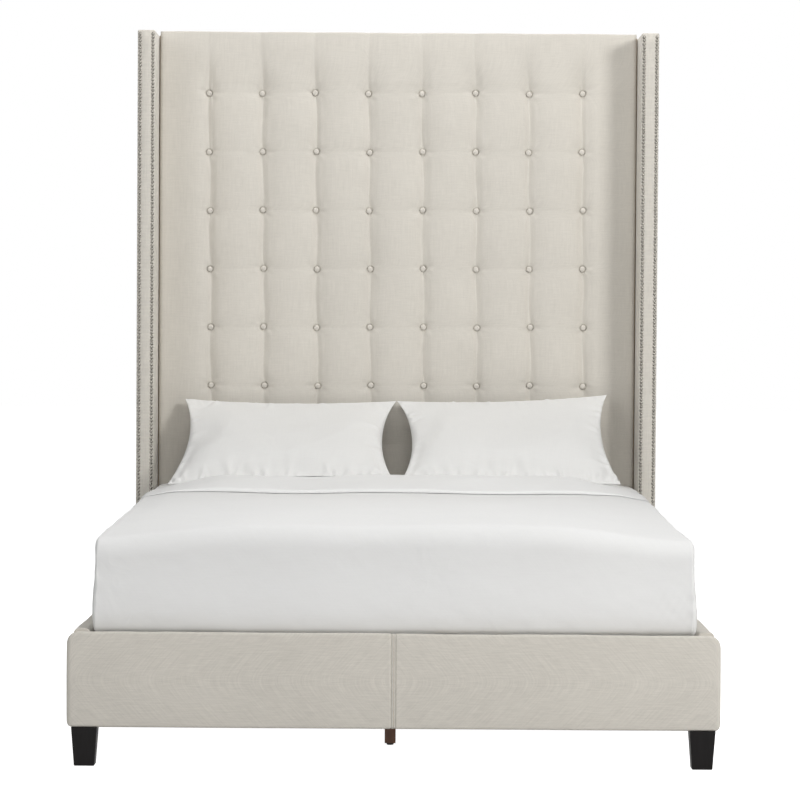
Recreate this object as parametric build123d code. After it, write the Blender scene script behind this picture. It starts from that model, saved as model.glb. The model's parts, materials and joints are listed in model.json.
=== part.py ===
"""Wingback bed: a tufted headboard between two nailed wings, upholstered rails and a made-up queen bed.

Millimetres. X runs across the bed, +Y from the foot to the head, +Z up from the floor.
The origin is on the floor, under the middle of the bed.
"""

import os
from math import atan, degrees

from build123d import *

# Queen mattress, which sets the inside of the frame
mattress_width = 1524
mattress_length = 2032
mattress_height = 254
mattress_corner = 55
mattress_tape = 12
mattress_draw_in = 7
side_room = 28
foot_room = 26

# Heights above the floor and along the headboard
foot_height = 101
footboard_height = 249
deck_height = 225
wing_height = 2093
wing_base = 12
panel_base = 300
panel_rise = 12

# Footboard
footboard_depth = 62
end_overhang = 10
footboard_pad = 12
footboard_crown = 5
footboard_top_corner = 33
footboard_low_corner = 15
footboard_edge = 13
footboard_low_edge = 4
footboard_post_width = 70
footboard_rail_height = 45
footboard_panel_thickness = 12
seam_depth = 3
cloth = 2

# Tapered front feet
foot_width = 67
foot_depth = 58
foot_taper = 7
foot_inset = 13
foot_chamfer = 3
foot_bolt_radius = 4
foot_bolt_sink = 45
foot_bolt_reach = 50

# Side rails and their hook-on joints
rail_thickness = 45
rail_board_thickness = 30
rail_pad = 12
rail_edge = 12
rail_low_edge = 6
cleat_width = 24
cleat_height = 40
plate_thickness = 3
plate_width = 18
plate_height = 150
hook_width = 5
hook_height = 30
hook_drop = 10
hook_spacing = 80
slot_room = 2
mortise_depth = 12

# Deck: slats with centre legs that stand on levelling feet
slat_count = 4
slat_width = 89
slat_thickness = 22
slat_end_room = 2
first_slat = 425
last_slat_gap = 270
leg_size = 30
leg_offset = -9
leveller_radius = 10
leveller_height = 6
leveller_stem_radius = 4
leveller_travel = 15
leveller_grip = 17
sleeve_radius = 8
sleeve_length = 25
leg_bore_spare = 8

# Headboard panel
headboard_depth = 75
timber_depth = 38
stile_width = 64
cross_rail_height = 70
board_thickness = 6
lip_radius = 12
margin_set_back = 2

# Tufting: columns and rows of covered buttons, the depth of the creases and the fullness between them
tuft_columns = 8
tuft_rows = 7
tuft_side_margin = 172
row_pitch = 193
top_row_drop = 187
button_crease = 19
open_crease = 10
row_draw_in = 4
tuft_reach = 27
margin_shoulder = 62
button_radius = 11
button_height = 7
button_crown_radius = 7.5
button_sink = 1
button_sides = 12

# Wings
wing_thickness = 57
wing_reach = 160
wing_pad = 8
wing_edge = 4
wing_post_depth = 45
wing_rung_height = 60
wing_rung_count = 5
nail_width = 11
nail_proud = 3.5
nail_outer_inset = 9
nail_row_gap = 40
nail_foot_room = 14
glide_radius = 14
glide_pin_radius = 3
glide_pin_length = 18
wing_bolt_radius = 4
wing_bolt_head_radius = 7
wing_bolt_head_height = 5
wing_bolt_bite = 22
wing_bolt_count = 4
wing_bolt_end_room = 160

# Flats on floor discs, on bolts and on hexagonal heads and sleeves
round_sides = 24
bolt_sides = 12
hex_sides = 6

# Bedding
foundation_height = 127
foundation_edge = 18
comforter_loft = 16
comforter_crown = 10
comforter_side = 19
comforter_front = 20
comforter_shoulder = 44
comforter_front_drop = 42
comforter_hem = 300
fold_reach = 640
fold_loft = 16
fold_side = 3
pillow_width = 700
pillow_length = 460
pillow_thickness = 150
pillow_end_draw_in = 36
pillow_side_draw_in = 14
pillow_seam = 6
pillow_roll = 150
pillow_gap = 4
pillow_tilt = 31
pillow_splay = 1.6

# Clearances
soft_gap = 0.3
running_fit = 0.1
fit = 0.2
overrun = 20

# Places worked out from the sizes above
half_inner = mattress_width / 2 + side_room
rail_outer = half_inner + rail_thickness
half_width = rail_outer + end_overhang
panel_half = half_width - wing_thickness
bed_length = footboard_depth + mattress_length + foot_room + headboard_depth
front_y = -bed_length / 2
back_y = bed_length / 2
footboard_back_y = front_y + footboard_depth
panel_face_y = back_y - headboard_depth
wing_front_y = panel_face_y - wing_reach
frame_top = foot_height + footboard_height
slat_low = deck_height - slat_thickness
leveller_stem_length = leveller_travel + leveller_grip
stile_face_y = back_y - cloth - timber_depth
board_face_y = stile_face_y - board_thickness
post_back_y = footboard_back_y - cloth
wing_post_face_y = wing_front_y + wing_pad
rail_front_y = post_back_y + plate_thickness
rail_back_y = wing_post_face_y - plate_thickness
rail_board_inner = half_inner + cloth
rail_board_middle = rail_board_inner + rail_board_thickness / 2
joint_height = (foot_height + cloth + frame_top - rail_pad) / 2
panel_top = wing_height + panel_rise
tuft_pitch = 2 * (panel_half - tuft_side_margin) / (tuft_columns - 1)
button_slope = degrees(atan((button_radius - button_crown_radius) / button_height))
mattress_low = deck_height + foundation_height
mattress_top = mattress_low + mattress_height
slat_pitch = (bed_length - headboard_depth - first_slat - last_slat_gap) / (slat_count - 1)
foot_middle = half_width - foot_inset - foot_width / 2
wing_middle = half_width - wing_thickness / 2

# How far the creases have recovered a little above and below a button
tuft_depth_share = 0.42
tuft_draw_share = 0.5
margin_bend_share = 0.5

# Fullness of a pillow's slice: where its quick rise ends, and the bulge of that rise
pillow_rise_share = 0.86
pillow_bend_share = 0.42
pillow_swell_share = 0.66


def span(x, y, z):
    """A box between pairs of low and high limits."""
    size = [high - low for low, high in (x, y, z)]
    middle = [(high + low) / 2 for low, high in (x, y, z)]
    return Pos(*middle) * Box(*size)


def side_span(side, x, y, z):
    """The same box on the right for side 1 and mirrored to the left for side -1."""
    return span(sorted((side * x[0], side * x[1])), y, z)


def carry_x(face, start, end):
    """Carry a Y-Z face along X from start to end."""
    return Pos(start, 0, 0) * extrude(face, amount=end - start, dir=(1, 0, 0))


def carry_y(face, start, end):
    """Carry an X-Z face along Y from start to end."""
    return Pos(0, start, 0) * extrude(face, amount=end - start, dir=(0, 1, 0))


def bar(radius, sides, start, axis, length):
    """A many-sided rod from a start point along one axis."""
    plane = Plane(origin=start, z_dir=axis)
    return extrude(plane * RegularPolygon(radius, sides), amount=length)


def outline(*edges):
    """A face inside a closed run of lines and arcs."""
    return make_face(Curve() + list(edges))


def loop_points(points, plane):
    """A face through corner points given in a plane."""
    return plane * make_face(Polyline(*points, close=True))


def round_block(x, y, z, corners):
    """A rectangle in X-Z with its own radius on each corner, carried along Y.

    The corners are low left, low right, top right and top left.
    """
    shape = span(x, y, z)
    places = ((x[0], z[0]), (x[1], z[0]), (x[1], z[1]), (x[0], z[1]))
    edges = shape.edges().filter_by(Axis.Y)
    for (px, pz), radius in zip(places, corners):
        nearest = edges.sort_by(lambda e: (e.center().X - px) ** 2 + (e.center().Z - pz) ** 2)[0]
        middle = nearest.center()
        fresh = shape.edges().filter_by(Axis.Y).sort_by(lambda e: (e.center() - middle).length)[0]
        shape = fillet(fresh, radius)
    return shape


def footboard_outer():
    """Padded footboard: a bulging front, soft top corners and rounded ends, with square mitres between."""
    low, high = foot_height, frame_top
    middle = (low + high) / 2
    front = front_y + footboard_crown
    long = (-half_width - overrun, half_width + overrun)
    across = round_block(
        (-half_width, half_width), (front_y - overrun, footboard_back_y + overrun), (low, high),
        (footboard_low_corner, footboard_low_corner, footboard_top_corner, footboard_top_corner),
    )
    edge, foot = footboard_edge, footboard_low_edge
    side_face = outline(
        Line((front + foot, low), (footboard_back_y - foot, low)),
        RadiusArc((footboard_back_y - foot, low), (footboard_back_y, low + foot), -foot),
        Line((footboard_back_y, low + foot), (footboard_back_y, high - edge)),
        RadiusArc((footboard_back_y, high - edge), (footboard_back_y - edge, high), -edge),
        Line((footboard_back_y - edge, high), (front + edge, high)),
        RadiusArc((front + edge, high), (front, high - edge), -edge),
        ThreePointArc((front, high - edge), (front_y, middle), (front, low + foot)),
        RadiusArc((front, low + foot), (front + foot, low), -foot),
    )
    along = carry_x(Plane.YZ * side_face, *long)
    plan = extrude(
        Pos(0, (front_y + footboard_back_y) / 2, 0)
        * RectangleRounded(2 * half_width, footboard_depth, footboard_edge),
        amount=high + overrun,
    )
    return across & along & plan


def footboard():
    """Timber frame, linen cover in two halves and the front feet with their bolts."""
    core_x = half_width - footboard_pad
    core_y = (front_y + footboard_pad, post_back_y)
    core_z = (foot_height + cloth, frame_top - footboard_pad)
    post_x = core_x - footboard_post_width
    pieces = {}
    outer = footboard_outer()
    groove = Pos(0, front_y, 0) * Rot(Z=45) * span(
        (-seam_depth, seam_depth), (-seam_depth, seam_depth), (0, frame_top + overrun)
    )
    cap = Pos(0, 0, frame_top) * Rot(Y=45) * span(
        (-seam_depth, seam_depth), (front_y, footboard_back_y), (-seam_depth, seam_depth)
    )
    core = span((-core_x, core_x), core_y, core_z)
    shell = outer - core - groove - cap
    for name, side in (("left", -1), ("right", 1)):
        post = side_span(side, (post_x, core_x), core_y, core_z)
        post -= socket_room(side, post_back_y, -1)
        post -= foot_bolt(side, fit)
        half = side_span(side, (0, half_width + overrun), (front_y - overrun, footboard_back_y + overrun),
                         (0, frame_top + overrun))
        cover = shell & half
        cover -= joint_window(side, post_back_y, footboard_back_y)
        cover -= foot_bolt(side, fit)
        pieces["footboard_post_" + name] = post
        pieces["footboard_cover_" + name] = cover
        pieces["foot_" + name] = front_foot(side)
    low_z = (core_z[0], core_z[0] + footboard_rail_height)
    top_z = (core_z[1] - footboard_rail_height, core_z[1])
    middle_y = (core_y[0] + core_y[1]) / 2
    panel_y = (middle_y - footboard_panel_thickness / 2, middle_y + footboard_panel_thickness / 2)
    pieces["footboard_bottom_rail"] = span((-post_x, post_x), core_y, low_z)
    pieces["footboard_top_rail"] = span((-post_x, post_x), core_y, top_z)
    pieces["footboard_panel"] = span((-post_x, post_x), panel_y, (low_z[1], top_z[0]))
    pieces["foot_bolts"] = Compound([foot_bolt(side, 0) for side in (-1, 1)])
    return pieces


def foot_bolt(side, room):
    """Hanger bolt from the foot up into the footboard's post."""
    start = (side * foot_middle, (front_y + footboard_back_y) / 2, foot_height - foot_bolt_sink - room)
    length = foot_bolt_sink + foot_bolt_reach + 2 * room
    return bar(foot_bolt_radius + room, bolt_sides, start, (0, 0, 1), length)


def foot_profile(width):
    """Side view of a foot: it tapers towards the floor, and its lowest edges are broken."""
    half = width / 2
    low = half - foot_taper
    corners = [(half, foot_height), (low, foot_chamfer), (low - foot_chamfer, 0)]
    return corners + [(-x, z) for x, z in corners[::-1]]


def front_foot(side):
    """Square block that tapers on all four sides."""
    across = carry_y(loop_points(foot_profile(foot_width), Plane.XZ), -foot_depth, foot_depth)
    along = carry_x(loop_points(foot_profile(foot_depth), Plane.YZ), -foot_width, foot_width)
    place = Pos(side * foot_middle, (front_y + footboard_back_y) / 2, 0)
    return place * (across & along) - foot_bolt(side, fit)


def hook_places():
    """Heights of the hooks on a plate."""
    return [joint_height + half * hook_spacing / 2 for half in (-1, 1)]


def hook_plate(side, face_y, way):
    """Rail-end plate whose hooks reach through the socket plate and drop behind it.

    way is -1 where the hooks point to the foot and 1 where they point to the head.
    """
    low_z, high_z = joint_height - plate_height / 2, joint_height + plate_height / 2
    middle = side * rail_board_middle
    plate = span((middle - plate_width / 2, middle + plate_width / 2),
                 sorted((face_y - way * plate_thickness, face_y)), (low_z, high_z))
    neck = plate_thickness + fit
    tip = neck + plate_thickness
    for place in hook_places():
        top, low = place + hook_height / 2, place - hook_height / 2
        profile = [(0, top), (tip, top), (tip, low - hook_drop), (neck, low - hook_drop), (neck, low), (0, low)]
        points = [(face_y + way * y, z) for y, z in profile]
        hook = carry_x(loop_points(points, Plane.YZ), middle - hook_width / 2, middle + hook_width / 2)
        plate += hook
    return plate


def socket_plate(side, face_y, way):
    """Plate let into the post, with a slot for each hook."""
    low_z, high_z = joint_height - plate_height / 2, joint_height + plate_height / 2
    middle = side * rail_board_middle
    plate = span((middle - plate_width / 2, middle + plate_width / 2),
                 sorted((face_y, face_y + way * plate_thickness)), (low_z, high_z))
    reach = sorted((face_y - way * overrun, face_y + way * overrun))
    half_slot = hook_width / 2 + slot_room / 2
    for z in hook_places():
        slot_z = (z - hook_height / 2 - fit, z + hook_height / 2 + hook_drop + slot_room)
        plate -= span((middle - half_slot, middle + half_slot), reach, slot_z)
    return plate


def socket_room(side, face_y, way):
    """Seat for the socket plate and the mortise behind it that frees the hooks."""
    middle = side * rail_board_middle
    low_z, high_z = joint_height - plate_height / 2, joint_height + plate_height / 2
    seat = span((middle - plate_width / 2, middle + plate_width / 2),
                sorted((face_y - way * overrun, face_y + way * plate_thickness)), (low_z, high_z))
    half_slot = hook_width / 2 + slot_room / 2
    reach_z = hook_spacing / 2 + hook_height / 2 + hook_drop + slot_room
    mortise = span((middle - half_slot, middle + half_slot),
                   sorted((face_y, face_y + way * mortise_depth)),
                   (joint_height - reach_z, joint_height + reach_z))
    return seat + mortise


def joint_window(side, start_y, end_y):
    """Opening in a cover where the rail's board and its plate pass through."""
    return side_span(side, (rail_board_inner - fit, rail_board_inner + rail_board_thickness + fit),
                     (start_y - overrun, end_y + overrun),
                     (foot_height + cloth - fit, frame_top - rail_pad + fit))


def side_rails():
    """Boards, padded covers, slat cleats and the hook plates at both ends."""
    pieces = {}
    board_x = (rail_board_inner, rail_board_inner + rail_board_thickness)
    board_z = (foot_height + cloth, frame_top - rail_pad)
    cleat_z = (slat_low - cleat_height, slat_low)
    for name, side in (("left", -1), ("right", 1)):
        board = side_span(side, board_x, (rail_front_y, rail_back_y), board_z)
        x = sorted((side * half_inner, side * rail_outer))
        corners = [rail_low_edge, rail_low_edge, rail_edge, rail_edge]
        outer = round_block(x, (footboard_back_y, wing_front_y), (foot_height, frame_top), corners)
        cleat = side_span(side, (half_inner - cleat_width, half_inner),
                          (footboard_back_y + cleat_width, wing_front_y - cleat_width), cleat_z)
        pieces["rail_board_" + name] = board
        pieces["rail_cover_" + name] = outer - side_span(
            side, board_x, (footboard_back_y - overrun, wing_front_y + overrun), board_z)
        pieces["cleat_" + name] = cleat
    ends = [(side, face, way) for side in (-1, 1) for face, way in ((post_back_y, -1), (wing_post_face_y, 1))]
    pieces["rail_hook_plates"] = Compound([hook_plate(*end) for end in ends])
    pieces["socket_plates"] = Compound([socket_plate(*end) for end in ends])
    return pieces


def slat_places():
    """Middle of each slat along the bed."""
    return [front_y + first_slat + number * slat_pitch for number in range(slat_count)]


def deck():
    """Slats on the cleats, each with a wooden centre leg, a threaded sleeve and a levelling foot."""
    pieces, sleeves = {}, []
    reach = half_inner - slat_end_room
    for number, y in enumerate(slat_places(), start=1):
        slat = span((-reach, reach), (y - slat_width / 2, y + slat_width / 2), (slat_low, deck_height))
        leg = span((leg_offset - leg_size / 2, leg_offset + leg_size / 2), (y - leg_size / 2, y + leg_size / 2),
                   (leveller_height, slat_low))
        depth = leveller_stem_length + leg_bore_spare
        seat = (leg_offset, y, leveller_height)
        leg -= bar(sleeve_radius + fit, hex_sides, seat, (0, 0, 1), depth)
        foot = bar(leveller_radius, round_sides, (leg_offset, y, 0), (0, 0, 1), leveller_height)
        foot += bar(leveller_stem_radius, bolt_sides, seat, (0, 0, 1), leveller_stem_length)
        sleeve = bar(sleeve_radius, hex_sides, seat, (0, 0, 1), sleeve_length)
        sleeve -= bar(leveller_stem_radius + running_fit, bolt_sides, seat, (0, 0, 1), sleeve_length)
        sleeves.append(sleeve)
        pieces[f"slat_{number}"] = slat
        pieces[f"centre_leg_{number}"] = leg
        pieces[f"leveller_{number}"] = foot
    pieces["leg_sleeves"] = Compound(sleeves)
    return pieces


def column_places():
    """Middle of each button column, left to right."""
    return [(number - (tuft_columns - 1) / 2) * tuft_pitch for number in range(tuft_columns)]


def row_places():
    """Height of each button row, from the lowest up."""
    rows = [wing_height - top_row_drop - number * row_pitch for number in range(tuft_rows)]
    return rows[::-1]


def pad_section(height, crease, draw_in):
    """Slice of the tufted pad: flat margins at the sides and one full arc between each pair of creases."""
    columns = column_places()
    margin_y = panel_face_y + margin_set_back
    crease_y = panel_face_y + crease
    crown_y = panel_face_y + draw_in
    first, last = columns[0], columns[-1]
    shoulder = first - margin_shoulder
    rise_y = margin_y + (crease_y - margin_y) * tuft_depth_share
    rise_x = margin_shoulder * margin_bend_share
    left_margin = ThreePointArc((shoulder, margin_y), (first - rise_x, rise_y), (first, crease_y))
    right_margin = ThreePointArc((last, crease_y), (last + rise_x, rise_y), (-shoulder, margin_y))
    arcs = [
        ThreePointArc((a, crease_y), ((a + b) / 2, crown_y), (b, crease_y))
        for a, b in zip(columns, columns[1:])
    ]
    face = outline(
        Line((-panel_half, board_face_y), (-panel_half, margin_y)),
        Line((-panel_half, margin_y), (shoulder, margin_y)),
        left_margin,
        *arcs,
        right_margin,
        Line((-shoulder, margin_y), (panel_half, margin_y)),
        Line((panel_half, margin_y), (panel_half, board_face_y)),
        Line((panel_half, board_face_y), (-panel_half, board_face_y)),
    )
    return Pos(0, 0, height) * face


def tufted_pad():
    """Front of the headboard: creases run through the button rows, and the pad rolls over the top rail."""
    rows = row_places()
    near_crease = open_crease + (button_crease - open_crease) * tuft_depth_share
    near_draw = row_draw_in * tuft_draw_share
    sections = [pad_section(panel_base, open_crease, 0)]
    for number, row in enumerate(rows):
        sections.append(pad_section(row - tuft_reach, near_crease, near_draw))
        sections.append(pad_section(row, button_crease, row_draw_in))
        sections.append(pad_section(row + tuft_reach, near_crease, near_draw))
        if number + 1 < len(rows):
            sections.append(pad_section((row + rows[number + 1]) / 2, open_crease, 0))
    sections.append(pad_section(wing_height, open_crease, 0))
    pad = loft([section.face() for section in sections], ruled=True)
    roll = outline(
        Line((back_y - cloth, wing_height), (panel_face_y + margin_set_back, wing_height)),
        RadiusArc((panel_face_y + margin_set_back, wing_height),
                  (panel_face_y + margin_set_back + lip_radius, panel_top), lip_radius),
        Line((panel_face_y + margin_set_back + lip_radius, panel_top), (back_y - cloth, panel_top)),
        Line((back_y - cloth, panel_top), (back_y - cloth, wing_height)),
    )
    pad += carry_x(Plane.YZ * roll, -panel_half, panel_half)
    for x, z in button_places():
        pad -= bar(button_radius + soft_gap, button_sides, (x, panel_face_y, z), (0, 1, 0),
                   button_crease + button_sink)
    return pad


def button_places():
    """Every button's place on the panel."""
    return [(x, z) for z in row_places() for x in column_places()]


def buttons():
    """Covered buttons, drawn into the creases."""
    seat_y = panel_face_y + button_crease + button_sink
    button = extrude(RegularPolygon(button_radius, button_sides), amount=button_height, taper=button_slope)
    return Compound([Pos(x, seat_y, z) * Rot(X=90) * button for x, z in button_places()])


def headboard():
    """Timber frame, plywood face, tufted pad with its buttons, and the cloth on the back."""
    inner = panel_half - stile_width
    timber_y = (stile_face_y, stile_face_y + timber_depth)
    whole_z = (panel_base, wing_height)
    pieces = {}
    for name, side in (("left", -1), ("right", 1)):
        stile = side_span(side, (inner, panel_half), timber_y, whole_z)
        for height in wing_bolt_places():
            stile -= wing_bolt(side, height, fit)
        pieces["headboard_stile_" + name] = stile
    middle = (panel_base + wing_height) / 2
    lows = {"bottom": panel_base, "middle": middle - cross_rail_height / 2,
            "top": wing_height - cross_rail_height}
    for name, low in lows.items():
        pieces[f"headboard_{name}_rail"] = span((-inner, inner), timber_y, (low, low + cross_rail_height))
    pieces["headboard_board"] = span((-panel_half, panel_half), (board_face_y, stile_face_y), whole_z)
    pieces["headboard_pad"] = tufted_pad()
    pieces["headboard_buttons"] = buttons()
    pieces["headboard_back_cloth"] = span((-panel_half, panel_half), (back_y - cloth, back_y),
                                          (panel_base, panel_top))
    return pieces


def wing_bolt_places():
    """Heights of the bolts that tie a wing to the panel's stile."""
    low, high = panel_base + wing_bolt_end_room, wing_height - wing_bolt_end_room
    return [low + number * (high - low) / (wing_bolt_count - 1) for number in range(wing_bolt_count)]


def wing_bolt(side, height, room):
    """Bolt through the stile and the wing's cover into its back post, head inside the panel frame."""
    head_x = side * (panel_half - stile_width)
    y = stile_face_y + timber_depth / 2
    length = stile_width + wing_pad + wing_bolt_bite + room
    shank = bar(wing_bolt_radius + room, bolt_sides, (head_x, y, height), (side, 0, 0), length)
    head = bar(wing_bolt_head_radius, hex_sides, (head_x, y, height), (-side, 0, 0), wing_bolt_head_height)
    return shank if room else shank + head


def wing_glide(side, y, room):
    """Nail-on glide under a wing's post."""
    disc = bar(glide_radius, round_sides, (side * wing_middle, y, 0), (0, 0, 1), wing_base)
    pin = bar(glide_pin_radius + room, bolt_sides, (side * wing_middle, y, wing_base), (0, 0, 1),
              glide_pin_length + room)
    return pin if room else disc + pin


def wings():
    """Two wings: timber posts and rungs, a padded cover, glides, bolts and the two nail rows of each."""
    pieces = {}
    core_x = (panel_half + wing_pad, half_width - wing_pad)
    core_y = (wing_post_face_y, back_y - cloth)
    core_z = (wing_base + cloth, wing_height - wing_pad)
    post_ys = ((core_y[0], core_y[0] + wing_post_depth), (core_y[1] - wing_post_depth, core_y[1]))
    glide_ys = [(low + high) / 2 for low, high in post_ys]
    rung_step = (core_z[1] - core_z[0] - wing_rung_height) / (wing_rung_count - 1)
    bolts, glides = [], []
    for name, side in (("left", -1), ("right", 1)):
        front = side_span(side, core_x, post_ys[0], core_z) - socket_room(side, wing_post_face_y, 1)
        back = side_span(side, core_x, post_ys[1], core_z)
        cover = wing_cover(side) - side_span(side, core_x, core_y, core_z)
        cover -= joint_window(side, wing_front_y, wing_post_face_y - overrun)
        for height in wing_bolt_places():
            back -= wing_bolt(side, height, fit)
            cover -= wing_bolt(side, height, fit)
            bolts.append(wing_bolt(side, height, 0))
        front -= wing_glide(side, glide_ys[0], fit)
        back -= wing_glide(side, glide_ys[1], fit)
        for y in glide_ys:
            cover -= wing_glide(side, y, fit)
            glides.append(wing_glide(side, y, 0))
        rungs = [
            side_span(side, core_x, (post_ys[0][1], post_ys[1][0]),
                      (core_z[0] + number * rung_step, core_z[0] + number * rung_step + wing_rung_height))
            for number in range(wing_rung_count)
        ]
        pieces["wing_front_post_" + name] = front
        pieces["wing_back_post_" + name] = back
        pieces["wing_rungs_" + name] = Compound(rungs)
        pieces["wing_cover_" + name] = cover
        pieces["nail_rows_" + name] = Compound([nail_row(side, inset) for inset in nail_insets()])
    pieces["wing_bolts"] = Compound(bolts)
    pieces["wing_glides"] = Compound(glides)
    return pieces


def wing_cover(side):
    """Padded wing with broken edges, square where it meets the panel."""
    cover = side_span(side, (panel_half, half_width), (wing_front_y, back_y), (wing_base, wing_height))
    front = cover.faces().sort_by(Axis.Y)[0]
    return fillet(front.edges(), wing_edge)


def nail_insets():
    """How far each nail row is from the wing's outer edge."""
    return nail_outer_inset, nail_outer_inset + nail_row_gap


def nail_row(side, inset):
    """A row of touching domed nails, as one half-round strip up the wing's front."""
    x = side * (half_width - inset)
    half = nail_width / 2
    strip = outline(
        Line((x - half, wing_front_y), (x + half, wing_front_y)),
        ThreePointArc((x + half, wing_front_y), (x, wing_front_y - nail_proud), (x - half, wing_front_y)),
    )
    low, high = frame_top + nail_foot_room, wing_height - wing_edge
    return Pos(0, 0, low) * extrude(strip, amount=high - low)


def crowned_face(half, low, top, crown, shoulder):
    """Slice across the bed: straight sides, round shoulders and a low arc over the top."""
    return outline(
        Line((-half, low), (half, low)),
        Line((half, low), (half, top - shoulder)),
        RadiusArc((half, top - shoulder), (half - shoulder, top), -shoulder),
        ThreePointArc((half - shoulder, top), (0, top + crown), (shoulder - half, top)),
        RadiusArc((shoulder - half, top), (-half, top - shoulder), -shoulder),
        Line((-half, top - shoulder), (-half, low)),
    )


def mattress_block(room):
    """Space of the mattress and the foundation together, with room all round."""
    half = mattress_width / 2 + room
    start = panel_face_y - soft_gap - mattress_length
    return span((-half, half), (start - room, panel_face_y + overrun), (0, mattress_top + room))


def comforter():
    """Quilt laid over the mattress: crowned top, round shoulders, sides that drop inside the rails."""
    half = mattress_width / 2 + comforter_side
    top = mattress_top + comforter_loft
    front = panel_face_y - mattress_length - comforter_front
    section = crowned_face(half, comforter_hem, top, comforter_crown, comforter_shoulder)
    across = carry_y(Plane.XZ * section, front - overrun, panel_face_y - soft_gap)
    high = top + comforter_crown + overrun
    shoulder = comforter_shoulder
    side_face = outline(
        Line((panel_face_y, comforter_hem), (front, comforter_hem)),
        Line((front, comforter_hem), (front, top - comforter_front_drop)),
        RadiusArc((front, top - comforter_front_drop), (front + shoulder, top), shoulder),
        Line((front + shoulder, top), (panel_face_y, high)),
        Line((panel_face_y, high), (panel_face_y, comforter_hem)),
    )
    along = carry_x(Plane.YZ * side_face, -half - overrun, half + overrun)
    return (across & along) - mattress_block(soft_gap)


def folded_sheet():
    """Head edge of the sheet and comforter turned back over the comforter, thin at its ends."""
    half = mattress_width / 2 + comforter_side
    top = mattress_top + comforter_loft
    start = panel_face_y - fold_reach
    outer = crowned_face(half + fold_side, comforter_hem, top + fold_side,
                         comforter_crown + fold_loft - fold_side, comforter_shoulder)
    inner = crowned_face(half + soft_gap, comforter_hem - overrun, top + soft_gap, comforter_crown,
                         comforter_shoulder)
    fold = carry_y(Plane.XZ * outer, start, panel_face_y - soft_gap)
    fold -= carry_y(Plane.XZ * inner, start - overrun, panel_face_y + overrun)
    return fold


def mattress():
    """Mattress with taped edges standing proud of sides that draw in."""
    half, start = mattress_width / 2, panel_face_y - soft_gap - mattress_length
    middle_y = start + mattress_length / 2
    full = Pos(0, middle_y, 0) * RectangleRounded(2 * half, mattress_length, mattress_corner)
    drawn = Pos(0, middle_y, 0) * RectangleRounded(
        2 * half - 2 * mattress_draw_in, mattress_length - 2 * mattress_draw_in,
        mattress_corner - mattress_draw_in)
    low_tape = Pos(0, 0, mattress_low) * extrude(full, amount=mattress_tape)
    top_tape = Pos(0, 0, mattress_top - mattress_tape) * extrude(full, amount=mattress_tape)
    body = Pos(0, 0, mattress_low) * extrude(drawn, amount=mattress_height)
    return low_tape + top_tape + body


def foundation():
    """Low-profile foundation under the mattress, standing on the slats."""
    start = panel_face_y - soft_gap - mattress_length
    plan = Pos(0, start + mattress_length / 2, deck_height) * RectangleRounded(
        mattress_width, mattress_length, foundation_edge)
    return extrude(plan, amount=foundation_height)


def pillow_face(half, roll):
    """Lens-shaped slice: short seam lines at the ends, a quick rise and a full middle."""
    seam, crown = pillow_seam / 2, pillow_thickness / 2
    rise = crown * pillow_rise_share
    bend = roll * pillow_bend_share
    swell = rise * pillow_swell_share
    return outline(
        Line((-half, -seam), (-half, seam)),
        ThreePointArc((-half, seam), (-half + bend, swell), (-half + roll, rise)),
        ThreePointArc((-half + roll, rise), (0, crown), (half - roll, rise)),
        ThreePointArc((half - roll, rise), (half - bend, swell), (half, seam)),
        Line((half, seam), (half, -seam)),
        ThreePointArc((half, -seam), (half - bend, -swell), (half - roll, -rise)),
        ThreePointArc((half - roll, -rise), (0, -crown), (-half + roll, -rise)),
        ThreePointArc((-half + roll, -rise), (-half + bend, -swell), (-half, -seam)),
    )


def pillow_body():
    """Pillow lying flat: full in the middle, four drawn-in sides and a pointed corner at each end.

    It is what three prisms have in common: a lens-shaped slice along each side and the plan's outline.
    """
    half_x, half_y = pillow_width / 2, pillow_length / 2
    roll_y = half_y * pillow_roll / half_x
    drawn_x, drawn_y = half_x - pillow_end_draw_in, half_y - pillow_side_draw_in
    across = carry_y(Plane.XZ * pillow_face(half_x, pillow_roll), -half_y, half_y)
    along = carry_x(Plane.YZ * pillow_face(half_y, roll_y), -half_x, half_x)
    plan = outline(
        ThreePointArc((-half_x, -half_y), (0, -drawn_y), (half_x, -half_y)),
        ThreePointArc((half_x, -half_y), (drawn_x, 0), (half_x, half_y)),
        ThreePointArc((half_x, half_y), (0, drawn_y), (-half_x, half_y)),
        ThreePointArc((-half_x, half_y), (-drawn_x, 0), (-half_x, -half_y)),
    )
    return across & along & extrude(plan, amount=pillow_thickness, both=True)


def pillows():
    """Two pillows that lean on the headboard and stand on the folded sheet."""
    seat_z = mattress_top + comforter_loft + comforter_crown + fold_loft + soft_gap
    body = pillow_body()
    pieces = {}
    for name, side in (("left", -1), ("right", 1)):
        leaned = Rot(X=pillow_tilt) * Rot(Z=side * pillow_splay) * body
        box = leaned.bounding_box()
        inner = box.max.X if side < 0 else box.min.X
        place = Pos(side * pillow_gap / 2 - inner, panel_face_y - soft_gap - box.max.Y, seat_z - box.min.Z)
        pieces["pillow_" + name] = place * leaned
    return pieces


def bedding():
    """Foundation, mattress, comforter with its folded edge, and the pillows."""
    pieces = {
        "foundation": foundation(),
        "mattress": mattress(),
        "comforter": comforter(),
        "folded_sheet": folded_sheet(),
    }
    pieces.update(pillows())
    return pieces


def main():
    """Build every piece and write it under its own name."""
    os.makedirs("parts", exist_ok=True)
    for group in (footboard, side_rails, deck, headboard, wings, bedding):
        for name, piece in group().items():
            export_step(piece, f"parts/{name}.step")


main()
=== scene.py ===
"""Looks of a wingback bed: a tufted linen headboard between nailed wings, a low padded frame, white bedding.

Metres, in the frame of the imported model. X runs across the bed, +Y from the foot to the head, +Z up.
The file is laid out as a Blender add-on and run as a script.
"""

import functools
import json

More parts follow.
